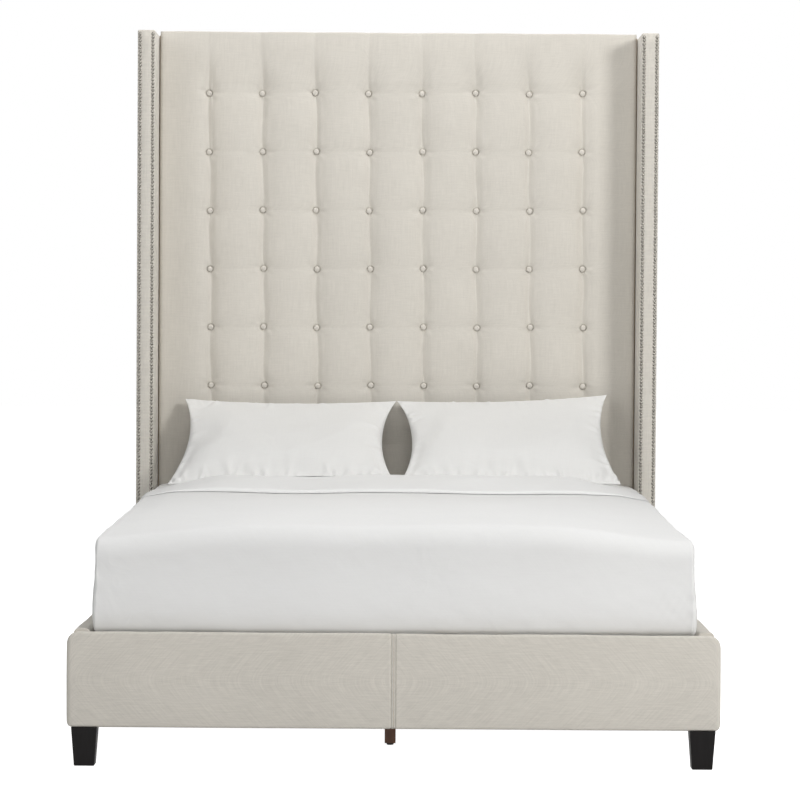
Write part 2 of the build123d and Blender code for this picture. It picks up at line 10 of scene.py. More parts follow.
import bmesh
import bpy
import numpy as np
from bpy.props import FloatProperty, FloatVectorProperty, PointerProperty
from mathutils import Matrix, Vector


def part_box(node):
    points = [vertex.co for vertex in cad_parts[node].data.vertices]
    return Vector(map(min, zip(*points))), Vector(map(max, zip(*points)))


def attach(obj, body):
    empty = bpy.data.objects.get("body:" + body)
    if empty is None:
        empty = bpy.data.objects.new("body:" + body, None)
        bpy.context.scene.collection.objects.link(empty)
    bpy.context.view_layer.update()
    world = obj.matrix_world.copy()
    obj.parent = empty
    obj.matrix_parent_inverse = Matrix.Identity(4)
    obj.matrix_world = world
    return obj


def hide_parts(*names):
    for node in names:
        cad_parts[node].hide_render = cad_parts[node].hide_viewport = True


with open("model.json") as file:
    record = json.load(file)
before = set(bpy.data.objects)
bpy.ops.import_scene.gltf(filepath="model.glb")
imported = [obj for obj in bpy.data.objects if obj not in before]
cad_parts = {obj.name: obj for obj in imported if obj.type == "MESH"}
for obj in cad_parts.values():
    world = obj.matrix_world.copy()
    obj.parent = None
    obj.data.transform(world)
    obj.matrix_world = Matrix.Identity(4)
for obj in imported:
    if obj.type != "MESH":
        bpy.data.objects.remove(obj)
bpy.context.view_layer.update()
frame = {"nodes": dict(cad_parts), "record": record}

bl_info = {
    "name": "Wingback Bed",
    "version": (1, 0, 0),
    "blender": (4, 5, 0),
    "location": "View3D > Sidebar > Bed",
    "description": "Upholstery, bedding, nails, feet and studio for a wingback bed",
    "category": "Object",
}

SIDES = (("left", -1), ("right", 1))
SIDE_NAMES = {side: name for name, side in SIDES}
WHOLE = "bed"
HALF_TURN = np.pi
QUARTER = np.pi / 2
FULL_TURN = 2 * np.pi

# Button grid, as the CAD pad has it
TUFT_COLUMNS = 8
TUFT_ROWS = 7
TUFT_SIDE_MARGIN = 0.172
ROW_PITCH = 0.193
TOP_ROW_DROP = 0.199

# How the sewn cover strays from that grid: its columns lean and its rows climb towards the right
COLUMN_SHIFT, COLUMN_LEAN, LEAN_LEVEL = -0.0033, -0.0115, 0.09
ROW_CLIMB = 0.0042

# The camera: its place, how it tilts, turns and rolls, and its lens
CAMERA_PLACE = (0.009, -8.5355, 1.150)
CAMERA_TILT = np.radians(90 - 1.53)
CAMERA_YAW = np.radians(-0.02)
CAMERA_ROLL = np.radians(0.38)
CAMERA_LENS = 130.23
CAMERA_SENSOR = 36


# ---------------------------------------------------------------- sizes and colours


def metres(name, description, default, low, high):
    """A size in metres that a user can change."""
    return FloatProperty(
        name=name, description=description, default=default, min=low, max=high, unit="LENGTH")


def tint(name, description, *default):
    """A colour that a user can change."""
    return FloatVectorProperty(
        name=name, description=description, subtype="COLOR", size=3, min=0, max=1, default=default)


class BedSizes(bpy.types.PropertyGroup):
    """Sizes of the upholstery and bedding that a user would change."""

    crease: metres(
        "Crease depth", "How far the cloth dips between two buttons of a column", 0.0245, 0.0, 0.028)
    button_draw: metres("Button draw", "How far a button is pulled into the pad", 0.0242, 0.005, 0.0245)
    button_width: metres("Button width", "Width of a covered button", 0.0188, 0.01, 0.03)
    button_height: metres("Button height", "Height of a covered button's dome", 0.0052, 0.002, 0.015)
    nail_width: metres("Nail width", "Width of a nail's domed head", 0.0108, 0.004, 0.02)
    nail_height: metres("Nail height", "Height of a nail's dome", 0.0036, 0.001, 0.008)
    nail_pitch: metres("Nail pitch", "Distance from one nail to the next", 0.0114, 0.008, 0.06)
    stitch_pitch: metres("Stitch pitch", "Distance from one topstitch to the next", 0.0052, 0.002, 0.01)
    comforter_wave: metres("Comforter unevenness", "Height of the comforter's wide waves", 0.0022, 0.0, 0.01)
    pillow_fill: FloatProperty(
        name="Pillow fill", description="Pressure that fills a pillow", default=0.6, min=0.2, max=6.0)


class BedColours(bpy.types.PropertyGroup):
    """Colours of the bed's finishes."""

    linen: tint("Linen", "Upholstery cloth", 0.628, 0.597, 0.540)
    cotton: tint("Cotton", "Bedding cloth", 0.797, 0.797, 0.791)
    # The pillow cases' colour is the comforter's cotton made darker and a little warmer: painted shade for
    # the shadow that the headboard casts on the pillows
    pillow: tint("Pillow cotton", "Cloth of the pillow cases", 0.728, 0.725, 0.711)
    # The nails' dark colour is partly an antique finish and partly painted dark reflections, standing in for
    # a dark room that the white backdrop doesn't give
    nail: tint("Nails", "Nail heads", 0.20, 0.19, 0.17)
    foot: tint("Front feet", "Lacquer of the front feet", 0.0055, 0.0048, 0.0048)
    leg: tint("Centre legs", "Stain of the centre legs", 0.128, 0.054, 0.026)


# ---------------------------------------------------------------- shapes worked out on grids


def smooth(x):
    """Soft step: 0 up to 0, 1 from 1 on, and 3x^2 - 2x^3 between."""
    x = np.clip(x, 0, 1)
    return x * x * (3 - 2 * x)


def hump(x, middle, reach):
    """Bell round a middle: e to the minus square of the distance over the reach."""
    return np.exp(-(((x - middle) / reach) ** 2))


def ripples(a, b, waves):
    """Sum of slanting sine waves. A wave is its height, its cycles per metre along a and b, and its phase."""
    return sum(height * np.sin(FULL_TURN * (p * a + q * b) + phase) for height, p, q, phase in waves)


def random_waves(seed, count, height, shortest, longest, stretch=(1, 1)):
    """Waves of seeded lengths and directions, the short ones lower in proportion to their length."""
    chance = np.random.default_rng(seed)
    length = np.exp(chance.uniform(np.log(shortest), np.log(longest), count))
    turn = chance.uniform(0, FULL_TURN, count)
    phase = chance.uniform(0, FULL_TURN, count)
    rise = height * (length / longest) ** 0.8 / np.sqrt(count / 2)
    along_a, along_b = np.cos(turn) / length * stretch[0], np.sin(turn) / length * stretch[1]
    return list(zip(rise, along_a, along_b, phase))


def rounded_loops(low_a, high_a, low_b, high_b, radii, arc=5, runs=(1, 1, 1, 1)):
    """Closed loops round rectangles: a quarter circle at each corner and a straight run after it.

    The corners go counter-clockwise from (high a, low b), and the limits may be columns of numbers, one row
    for each loop.
    """
    columns = [np.reshape(value, (-1, 1)) * 1.0 for value in (low_a, high_a, low_b, high_b, *radii)]
    (low_a, high_a, low_b, high_b), radii = columns[:4], columns[4:]
    corners = ((high_a, low_b, -1, 1, -QUARTER), (high_a, high_b, -1, -1, 0.0),
               (low_a, high_b, 1, -1, QUARTER), (low_a, low_b, 1, 1, HALF_TURN))
    arcs = []
    for (a, b, way_a, way_b, start), radius in zip(corners, radii):
        angle = start + np.linspace(0, QUARTER, arc)
        arc_a = a + way_a * radius + radius * np.cos(angle)
        arcs.append((arc_a, b + way_b * radius + radius * np.sin(angle)))
    parts_a, parts_b = [], []
    for number, run in enumerate(runs):
        here, after = arcs[number], arcs[(number + 1) % 4]
        share = np.arange(1, run + 1) / (run + 1)
        parts_a += [here[0], here[0][:, -1:] + (after[0][:, :1] - here[0][:, -1:]) * share]
        parts_b += [here[1], here[1][:, -1:] + (after[1][:, :1] - here[1][:, -1:]) * share]
    a, b = np.broadcast_arrays(np.concatenate(parts_a, 1), np.concatenate(parts_b, 1))
    return a, b


def eased_run(start, end, edge_start, edge_end, count, arc=4):
    """Places along a run whose two ends are rounded, and how far the outline steps in at each place.

    Along an end's quarter circle the place is r - r cos t and the step is r - r sin t.
    """
    angle = np.linspace(0, QUARTER, arc)
    first = start + edge_start * (1 - np.cos(angle))
    last = end - edge_end * (1 - np.cos(angle))[::-1]
    middle = np.linspace(first[-1], last[0], count + 2)[1:-1]
    step = np.concatenate([edge_start * (1 - np.sin(angle)), np.zeros(count),
                           edge_end * (1 - np.sin(angle))[::-1]])
    return np.concatenate([first, middle, last]), step


def capped(points):
    """Close both ends of a tube: each end gets one more loop, all of it at that end's middle point."""
    first = np.repeat(points[:1].mean(1, keepdims=True), points.shape[1], 1)
    last = np.repeat(points[-1:].mean(1, keepdims=True), points.shape[1], 1)
    return np.concatenate([first, points, last], 0)


STEP_GROWTH = 0.3


def packed_places(lines, low, high, fine, near, coarse):
    """Grid places that crowd at given lines: fine steps near a line, then steps that grow to coarse ones."""
    marks = np.concatenate([[low], lines, [high]])
    places = [low]
    for start, end in zip(marks[:-1], marks[1:]):
        from_line, to_line = start != low, end != high
        room = (end - start) / (2 if from_line and to_line else 1)
        steps, here = [], 0.0
        while here < room:
            here += fine if here < near else min(coarse, fine + (here - near) * STEP_GROWTH)
            steps.append(here)
        reach = np.array(steps) / steps[-1] * room
        if from_line and to_line:
            run = np.concatenate([start + reach, (end - reach)[::-1][1:], [end]])
        else:
            run = start + reach if from_line else np.append((end - reach)[::-1][1:], end)
        places.extend(run)
    return np.unique(np.round(places, 6))


def cloth_lengths(points):
    """Lengths along both ways of a grid, summed from its first row and column."""
    along_u = np.linalg.norm(np.diff(points, axis=0), axis=2)
    along_v = np.linalg.norm(np.diff(points, axis=1), axis=2)
    u = np.pad(np.cumsum(along_u, 0), ((1, 0), (0, 0)))
    v = np.pad(np.cumsum(along_v, 1), ((0, 0), (1, 0)))
    return np.stack([u, v], -1)


def make_piece(name, patches, weld=2e-5, closed=True):
    """One mesh from grids of points. A patch is its points and whether its rows and its columns close.

    Every square of a grid becomes a face, the map "cloth" holds lengths along the grid in metres, and
    points that meet are welded.
    """
    verts, quads, maps, base = [], [], [], 0
    for points, wrap_u, wrap_v in patches:
        whole = np.concatenate([points, points[:1]], 0) if wrap_u else points
        whole = np.concatenate([whole, whole[:, :1]], 1) if wrap_v else whole
        lengths = cloth_lengths(whole)
        rows, columns = points.shape[:2]
        u, v = np.meshgrid(np.arange(whole.shape[0] - 1), np.arange(whole.shape[1] - 1), indexing="ij")
        corners = ((u, v), (u + 1, v), (u + 1, v + 1), (u, v + 1))
        square = np.stack([base + (p % rows) * columns + q % columns for p, q in corners], -1)
        quads.append(square.reshape(-1, 4))
        maps.append(np.stack([lengths[p, q] for p, q in corners], 2).reshape(-1, 2))
        verts.append(points.reshape(-1, 3))
        base += rows * columns
    verts, quads, maps = np.concatenate(verts), np.concatenate(quads), np.concatenate(maps)
    mesh = bpy.data.meshes.new(name)
    mesh.vertices.add(len(verts))
    mesh.vertices.foreach_set("co", verts.astype(np.float32).ravel())
    mesh.loops.add(quads.size)
    mesh.loops.foreach_set("vertex_index", quads.astype(np.int32).ravel())
    mesh.polygons.add(len(quads))
    mesh.polygons.foreach_set("loop_start", np.arange(0, quads.size, 4, dtype=np.int32))
    mesh.update(calc_edges=True)
    layer = mesh.uv_layers.new(name="cloth")
    layer.data.foreach_set("uv", maps.astype(np.float32).ravel())
    work = bmesh.new()
    work.from_mesh(mesh)
    bmesh.ops.remove_doubles(work, verts=work.verts, dist=weld)
    bmesh.ops.dissolve_degenerate(work, edges=work.edges, dist=weld / 4)
    if closed:
        bmesh.ops.recalc_face_normals(work, faces=work.faces)
    for face in work.faces:
        face.smooth = True
    work.to_mesh(mesh)
    work.free()
    mesh.validate()
    piece = bpy.data.objects.new(name, mesh)
    bpy.context.scene.collection.objects.link(piece)
    return piece


def copies(template, places):
    """The same small grid set down at many places, as one patch list."""
    return [(template + place, False, True) for place in places]


def mesh_points(mesh):
    """A mesh's points as rows of x, y and z."""
    flat = np.zeros(len(mesh.vertices) * 3, np.float32)
    mesh.vertices.foreach_get("co", flat)
    return flat.reshape(-1, 3)


def move_points(mesh, points):
    """Put a mesh's points at new places."""
    mesh.vertices.foreach_set("co", points.astype(np.float32).ravel())
    mesh.update()


def level_loops(a, b, z):
    """Loops given by a and b, each laid at its own height."""
    return np.stack([a, b, np.repeat(z[:, None], a.shape[1], 1)], -1)


def dress(piece, finish_name, slot, *nodes, body=WHOLE):
    """Give a piece its finish, let it ride on its body, and let it stand for its CAD nodes. Its slot is not
    used.
    """
    piece.data.materials.clear()
    piece.data.materials.append(finish(finish_name))
    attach(piece, body)
    if nodes:
        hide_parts(*nodes)


def cad(node):
    """A node's low and high corners as arrays."""
    low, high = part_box(node)
    return np.array(low), np.array(high)


# ---------------------------------------------------------------- materials


def socket_value(node, name, value, tree):
    """Set a socket, or link it where the value is another socket."""
    if isinstance(value, bpy.types.NodeSocket):
        tree.links.new(value, node.inputs[name])
    else:
        node.inputs[name].default_value = value


def add(tree, kind, inputs=None, **settings):
    """A node with its settings and its inputs by name or number."""
    node = tree.nodes.new(kind)
    for key, value in settings.items():
        setattr(node, key, value)
    for name, value in (inputs or {}).items():
        socket_value(node, name, value, tree)
    return node


def calc(tree, operation, *values, clamp=False):
    """A Math node's result."""
    inputs = dict(enumerate(values))
    return add(tree, "ShaderNodeMath", inputs, operation=operation, use_clamp=clamp).outputs[0]


def mixed(tree, share, first, second, blend="MIX"):
    """Two colours mixed by a share. In a Mix node the colours are inputs 6 and 7 and output 2."""
    node = add(tree, "ShaderNodeMix", data_type="RGBA", blend_type=blend)
    socket_value(node, 0, share, tree)
    socket_value(node, 6, first, tree)
    socket_value(node, 7, second, tree)
    return node.outputs[2]


def spread(tree, value, low, high, to_low=0.0, to_high=1.0):
    """A value's range laid over another."""
    names = {"Value": value, "From Min": low, "From Max": high, "To Min": to_low, "To Max": to_high}
    return add(tree, "ShaderNodeMapRange", names).outputs[0]


def noise(tree, vector, scale, detail=2.0, rough=0.5, twist=0.0):
    """A noise's grey value."""
    names = {"Vector": vector, "Scale": scale, "Detail": detail, "Roughness": rough, "Distortion": twist}
    return add(tree, "ShaderNodeTexNoise", names).outputs[0]


def stretched(tree, vector, scale):
    """A vector with each direction scaled by its own amount."""
    return add(tree, "ShaderNodeMapping", {"Vector": vector, "Scale": scale}).outputs[0]


def weighted(tree, *terms):
    """Sum of values, each times its weight."""
    total = None
    for value, weight in terms:
        part = calc(tree, "MULTIPLY", value, weight)
        total = part if total is None else calc(tree, "ADD", total, part)
    return total


def off_middle(tree, value, weight):
    """How far a value between 0 and 1 is from a half, times a weight."""
    return calc(tree, "MULTIPLY", calc(tree, "SUBTRACT", value, 0.5), weight)


def brightened(tree, colour, level):
    """A colour times one more than a level."""
    bright = calc(tree, "ADD", 1.0, level)
    grey = add(tree, "ShaderNodeCombineColor", {0: bright, 1: bright, 2: bright}).outputs[0]
    return mixed(tree, 1.0, colour, grey, "MULTIPLY")


PATTERN_OUTPUTS = {"Colour": "Color", "Height": "Float", "Roughness": "Float"}


def node_group(name, inputs, outputs=PATTERN_OUTPUTS):
    """Let a function fill a node group the first time it is asked for, and give the same group from then on.

    An input is a label with its kind of socket and its default, an output is a label with its kind.
    """
    def wrap(fill):
        @functools.wraps(fill)
        def ready():
            tree = bpy.data.node_groups.get(name)
            if tree is not None:
                return tree
            tree = bpy.data.node_groups.new(name, "ShaderNodeTree")
            for label, (kind, value) in inputs.items():
                socket = tree.interface.new_socket(
                    name=label, in_out="INPUT", socket_type="NodeSocket" + kind)
                if value is not None:
                    socket.default_value = value
            for label, kind in outputs.items():
                tree.interface.new_socket(name=label, in_out="OUTPUT", socket_type="NodeSocket" + kind)
            given, result = tree.nodes.new("NodeGroupInput"), tree.nodes.new("NodeGroupOutput")
            fill(tree, given.outputs, result.inputs)
            return tree
        return ready
    return wrap


@node_group("Woven cloth", {
    "Vector": ("Vector", None), "Colour": ("Color", (0.7, 0.7, 0.7, 1)), "Thread": ("Float", 0.001),
    "Slub": ("Float", 0.5), "Contrast": ("Float", 0.1), "Tone": ("Float", 0.03)})
def woven_cloth(tree, given, result):
    """Plain weave: threads both ways, thicker slubs along them, and slow changes of tone.

    Height is the product of two sines, one for each set of threads. Slubs are noises drawn out along each
    set of threads, two broad ones and a fine one. Lengths are in metres.
    """
    vector = given["Vector"]
    parts = add(tree, "ShaderNodeSeparateXYZ", {"Vector": vector})
    turns = calc(tree, "DIVIDE", HALF_TURN, given["Thread"])
    warp = calc(tree, "SINE", calc(tree, "MULTIPLY", parts.outputs[0], turns))
    weft = calc(tree, "SINE", calc(tree, "MULTIPLY", parts.outputs[1], turns))
    weave = spread(tree, calc(tree, "MULTIPLY", warp, weft), -1.0, 1.0)
    across = noise(tree, stretched(tree, vector, (210.0, 15.0, 15.0)), 1.0, 2.0, 0.55)
    along = noise(tree, stretched(tree, vector, (22.0, 250.0, 22.0)), 1.0, 2.0, 0.55)
    fine_along = noise(tree, stretched(tree, vector, (90.0, 1100.0, 90.0)), 1.0, 2.0, 0.6)
    slubs = spread(tree, weighted(tree, (across, 0.38), (along, 0.40), (fine_along, 0.22)), 0.34, 0.66)
    tone = spread(tree, noise(tree, vector, 3.5, 3.0), 0.3, 0.7)
    level = calc(tree, "ADD", off_middle(tree, slubs, given["Slub"]),
                 off_middle(tree, weave, given["Contrast"]))
    level = calc(tree, "ADD", level, off_middle(tree, tone, given["Tone"]))
    tree.links.new(brightened(tree, given["Colour"], level), result["Colour"])
    tree.links.new(weighted(tree, (weave, 0.5), (slubs, 0.5)), result["Height"])
    tree.links.new(spread(tree, slubs, 0.0, 1.0, 0.95, 0.85), result["Roughness"])


@node_group("Soft creases", {
    "Vector": ("Vector", None), "Scale": ("Float", 9.0), "Sharpness": ("Float", 0.12)}, {"Height": "Float"})
def soft_creases(tree, given, result):
    """Fine rumples of a thin cloth: narrow ridges of a bent noise, strongest where a slow noise is high."""
    vector = given["Vector"]
    bent = noise(tree, vector, given["Scale"], 1.5, 0.45, 0.5)
    away = calc(tree, "ABSOLUTE", calc(tree, "SUBTRACT", bent, 0.5))
    ridge = spread(tree, away, 0.0, given["Sharpness"], 1.0, 0.0)
    where = spread(tree, noise(tree, vector, 3.0, 1.0), 0.42, 0.68)
    broad = noise(tree, vector, 5.0, 2.0, 0.5)
    height = calc(tree, "ADD", calc(tree, "MULTIPLY", ridge, calc(tree, "MULTIPLY", where, 0.5)), broad)
    tree.links.new(height, result["Height"])


@node_group("Wood grain", {
    "Vector": ("Vector", None), "Light": ("Color", (0.7, 0.5, 0.3, 1)),
    "Dark": ("Color", (0.4, 0.25, 0.12, 1)), "Stretch": ("Vector", (1.0, 12.0, 12.0)),
    "Pores": ("Float", 0.15)})
def wood_grain(tree, given, result):
    """Growth rings drawn out along the board, with fine pores: a noise bends a band pattern."""
    drawn = add(tree, "ShaderNodeVectorMath", {0: given["Vector"], 1: given["Stretch"]},
                operation="MULTIPLY").outputs[0]
    rings = add(tree, "ShaderNodeTexWave",
                {"Vector": drawn, "Scale": 1.3, "Distortion": 7.0, "Detail": 3.0, "Detail Scale": 0.8},
                wave_type="BANDS", bands_direction="DIAGONAL").outputs["Fac"]
    fine = noise(tree, drawn, 14.0, 5.0, 0.65)
    pores = noise(tree, drawn, 60.0, 2.0, 0.5)
    share = weighted(tree, (rings, 0.55), (fine, 0.45))
    share = calc(tree, "ADD", share, off_middle(tree, pores, given["Pores"]), clamp=True)
    tree.links.new(mixed(tree, share, given["Dark"], given["Light"]), result["Colour"])
    tree.links.new(calc(tree, "ADD", share, calc(tree, "MULTIPLY", pores, 0.4)), result["Height"])
    tree.links.new(spread(tree, fine, 0.3, 0.7, 0.62, 0.42), result["Roughness"])


@node_group("Handling marks", {
    "Vector": ("Vector", None), "Colour": ("Color", (0.5, 0.5, 0.5, 1)), "Roughness": ("Float", 0.4),
    "Amount": ("Float", 0.2)})
def handling_marks(tree, given, result):
    """Faint smudges and fine scratches on a hard surface: a slow noise, and a fast one drawn out."""
    vector = given["Vector"]
    smudge = noise(tree, vector, 18.0, 4.0, 0.6)
    scratch = noise(tree, stretched(tree, vector, (900.0, 60.0, 60.0)), 1.0, 2.0, 0.5)
    change = off_middle(tree, weighted(tree, (smudge, 0.6), (scratch, 0.4)), given["Amount"])
    tree.links.new(brightened(tree, given["Colour"], change), result["Colour"])
    tree.links.new(calc(tree, "ADD", given["Roughness"], change, clamp=True), result["Roughness"])
    tree.links.new(scratch, result["Height"])


PATTERN_INPUTS = {
    woven_cloth: ("Colour", "Thread", "Slub", "Contrast", "Tone"),
    wood_grain: ("Light", "Dark", "Stretch", "Pores"),
    handling_marks: ("Colour", "Roughness", "Amount"),
}
LINEN_SHADER = {"Sheen Weight": 0.12, "Sheen Roughness": 0.5, "Specular IOR Level": 0.25}
COTTON_SHADER = {"Sheen Weight": 0.05, "Sheen Roughness": 0.4, "Specular IOR Level": 0.05}

# A finish is its pattern and that pattern's inputs, the strength and depth of its bump, and the shader's own
# values. A colour is four numbers, or one of the bed's colours by name and how much lighter it is.
FINISHES = {
    # A fine plain weave with slubs that run mostly across, and the same cloth pulled tight over the pad
    "Upholstery linen": (woven_cloth, (("linen", 1), 0.0011, 0.20, 0.10, 0.04), 0.35, 0.0004, LINEN_SHADER),
    "Stretched linen": (woven_cloth, (("linen", 1), 0.0011, 0.11, 0.10, 0.04), 0.22, 0.0004, LINEN_SHADER),
    # White percale: threads too fine to see, and faint slubs
    "White cotton": (woven_cloth, (("cotton", 1), 0.0006, 0.03, 0.02, 0.012), 0.2, 0.0001, COTTON_SHADER),
    # The pillows' copy of the percale is darker: painted shade from the headboard
    "Pillow cotton": (woven_cloth, (("pillow", 1), 0.0006, 0.03, 0.02, 0.012), 0.2, 0.0001, COTTON_SHADER),
    # Cloths that the bedding and the wall hide
    "Black dust cloth": (woven_cloth, ((0.030, 0.030, 0.031, 1), 0.0016, 0.35, 0.5, 0.1), 0.4, 0.0004, {}),
    "Mattress ticking": (woven_cloth, ((0.72, 0.715, 0.70, 1), 0.0016, 0.05, 0.12, 0.02), 0.4, 0.0006, {}),
    "Foundation cloth": (woven_cloth, ((0.58, 0.575, 0.56, 1), 0.0014, 0.12, 0.15, 0.03), 0.4, 0.0005, {}),
    # Black satin lacquer that lets a little grain through, and stained, sawn and glued wood
    "Black lacquered wood": (wood_grain, (("foot", 1.35), ("foot", 1), (14.0, 14.0, 1.5), 0.2), 0.12, 0.0003,
                             {"Specular IOR Level": 0.12}),
    "Brown stained wood": (wood_grain, (("leg", 1.7), ("leg", 1), (16.0, 16.0, 1.8), 0.25), 0.2, 0.0003,
                           {"Coat Weight": 0.15, "Coat Roughness": 0.3}),
    "Sawn pine": (wood_grain, ((0.72, 0.53, 0.31, 1), (0.52, 0.33, 0.16, 1), (3.0, 9.0, 9.0), 0.15),
                  0.3, 0.0005, {}),
    "Birch plywood": (wood_grain, ((0.70, 0.55, 0.36, 1), (0.58, 0.43, 0.26, 1), (5.0, 5.0, 1.4), 0.1),
                      0.15, 0.0003, {}),
    # Nickel made dark, partly an antique finish and partly painted dark reflections; zinc plate; moulded
    # plastic
    "Nickel nail heads": (handling_marks, (("nail", 1), 0.2, 0.25), 0.05, 0.0001, {"Metallic": 1.0}),
    "Zinc plated steel": (handling_marks, ((0.60, 0.61, 0.62, 1), 0.36, 0.3), 0.1, 0.0001, {"Metallic": 1.0}),
    "Black plastic": (handling_marks, ((0.018, 0.018, 0.018, 1), 0.5, 0.25), 0.1, 0.0001, {}),
}
RUMPLED = ("White cotton", "Pillow cotton")
RUMPLE_STRENGTH, RUMPLE_DEPTH = 0.5, 0.004


def new_material(name):
    """A fresh material, its tree and its surface shader."""
    material = bpy.data.materials.new(name)
    material.use_nodes = True
    return material, material.node_tree, material.node_tree.nodes["Principled BSDF"]


def object_place(tree):
    """Places on the bed, in metres."""
    return add(tree, "ShaderNodeTexCoord").outputs["Object"]


def own_colour(value):
    """A value of the table, with one of the bed's colours and its lightening worked out to four numbers."""
    if not isinstance(value, tuple) or not isinstance(value[0], str):
        return value
    name, lighter = value
    return (*(min(1, part * lighter) for part in getattr(bpy.context.scene.bed_colours, name)), 1.0)


def finish(name):
    """The material of a finish: its colour, roughness and height come from its pattern's node group.

    Cloth follows the piece's cloth map, and all else its place on the bed. Under a rumpled cloth's weave lies
    a second, broader bump.
    """
    if name in bpy.data.materials:
        return bpy.data.materials[name]
    pattern, values, bump, depth, shader_values = FINISHES[name]
    material, tree, shader = new_material(name)
    if pattern is woven_cloth:
        vector = add(tree, "ShaderNodeUVMap", uv_map="cloth").outputs[0]
    else:
        vector = object_place(tree)
    inputs = dict(zip(PATTERN_INPUTS[pattern], map(own_colour, values)))
    look = add(tree, "ShaderNodeGroup", {"Vector": vector, **inputs}, node_tree=pattern()).outputs
    raised = add(tree, "ShaderNodeBump", {"Strength": bump, "Distance": depth, "Height": look["Height"]})
    if name in RUMPLED:
        creases = add(tree, "ShaderNodeGroup", {"Vector": object_place(tree)},
                      node_tree=soft_creases()).outputs["Height"]
        rumple = add(tree, "ShaderNodeBump",
                     {"Strength": RUMPLE_STRENGTH, "Distance": RUMPLE_DEPTH, "Height": creases})
        tree.links.new(rumple.outputs[0], raised.inputs["Normal"])
    for label, socket in (("Base Color", look["Colour"]), ("Roughness", look["Roughness"]),
                          ("Normal", raised.outputs[0])):
        tree.links.new(socket, shader.inputs[label])
    for label, value in shader_values.items():
        shader.inputs[label].default_value = value
    return material


# ---------------------------------------------------------------- headboard


def tuft_lines():
    """Places of the button columns and rows, and where the pad's face and edges are."""
    low, high = cad("headboard_pad")
    half = high[0]
    columns = np.linspace(-half + TUFT_SIDE_MARGIN, half - TUFT_SIDE_MARGIN, TUFT_COLUMNS)
    rows = high[2] - TOP_ROW_DROP - ROW_PITCH * np.arange(TUFT_ROWS)[::-1]
    return columns, rows, low, high


BUTTON_STRAY = 0.0016


def button_spots():
    """Middle of every button: columns lean, rows climb, and each button strays by slow sines of its place."""
    columns, rows, _, _ = tuft_lines()
    x, z = np.meshgrid(columns, rows, indexing="ij")
    lean = COLUMN_SHIFT + COLUMN_LEAN * (z - rows.mean() - LEAN_LEVEL)
    return (x + lean + BUTTON_STRAY * np.sin(31 * x + 17 * z),
            z + ROW_CLIMB * x + BUTTON_STRAY * np.sin(23 * x - 29 * z))


# How the pad's cloth lies. A depth is how far back a form goes, and a reach is how far it carries.
COLUMN_SWAY, SWAY_REACH = 0.0030, 0.05
ARCH_SHARE, FOLD_SHARE, EDGE_ARCH_REACH = 0.62, 0.42, 0.085
FOLD_REACH_RIGHT, FOLD_REACH_LEFT, FOLD_ROUND = 0.0180, 0.0190, 0.0032
DRAW_REACH, DRAW_ARCH, DRAW_FOLD = 0.050, 0.45, 0.38
FADE_RISE, FADE_MIDDLE, FADE_OUTER = 0.80, 0.70, 0.26
ROW_FOLD_DEPTH, ROW_FOLD_REACH, ROW_FOLD_ROUND, ROW_HOLLOW = 0.0010, 0.014, 0.003, 0.0014
DIMPLE_DEPTH, DIMPLE_REACH = 0.0036, 0.0200
WRINKLE_FINE, WRINKLE_BROAD, WRINKLE_RING, WRINKLE_REACH = 0.00055, 0.0006, 0.027, 0.012
TUG_HEIGHT, TUG_LENGTH, TUG_PLACE, TUG_REACH = 0.0007, 0.0052, 0.055, 0.03
MARGIN_DEPTH = 0.0015
POCKET_DEPTH, POCKET_ROOM, POCKET_RIM = 0.0040, 0.0008, 0.0024


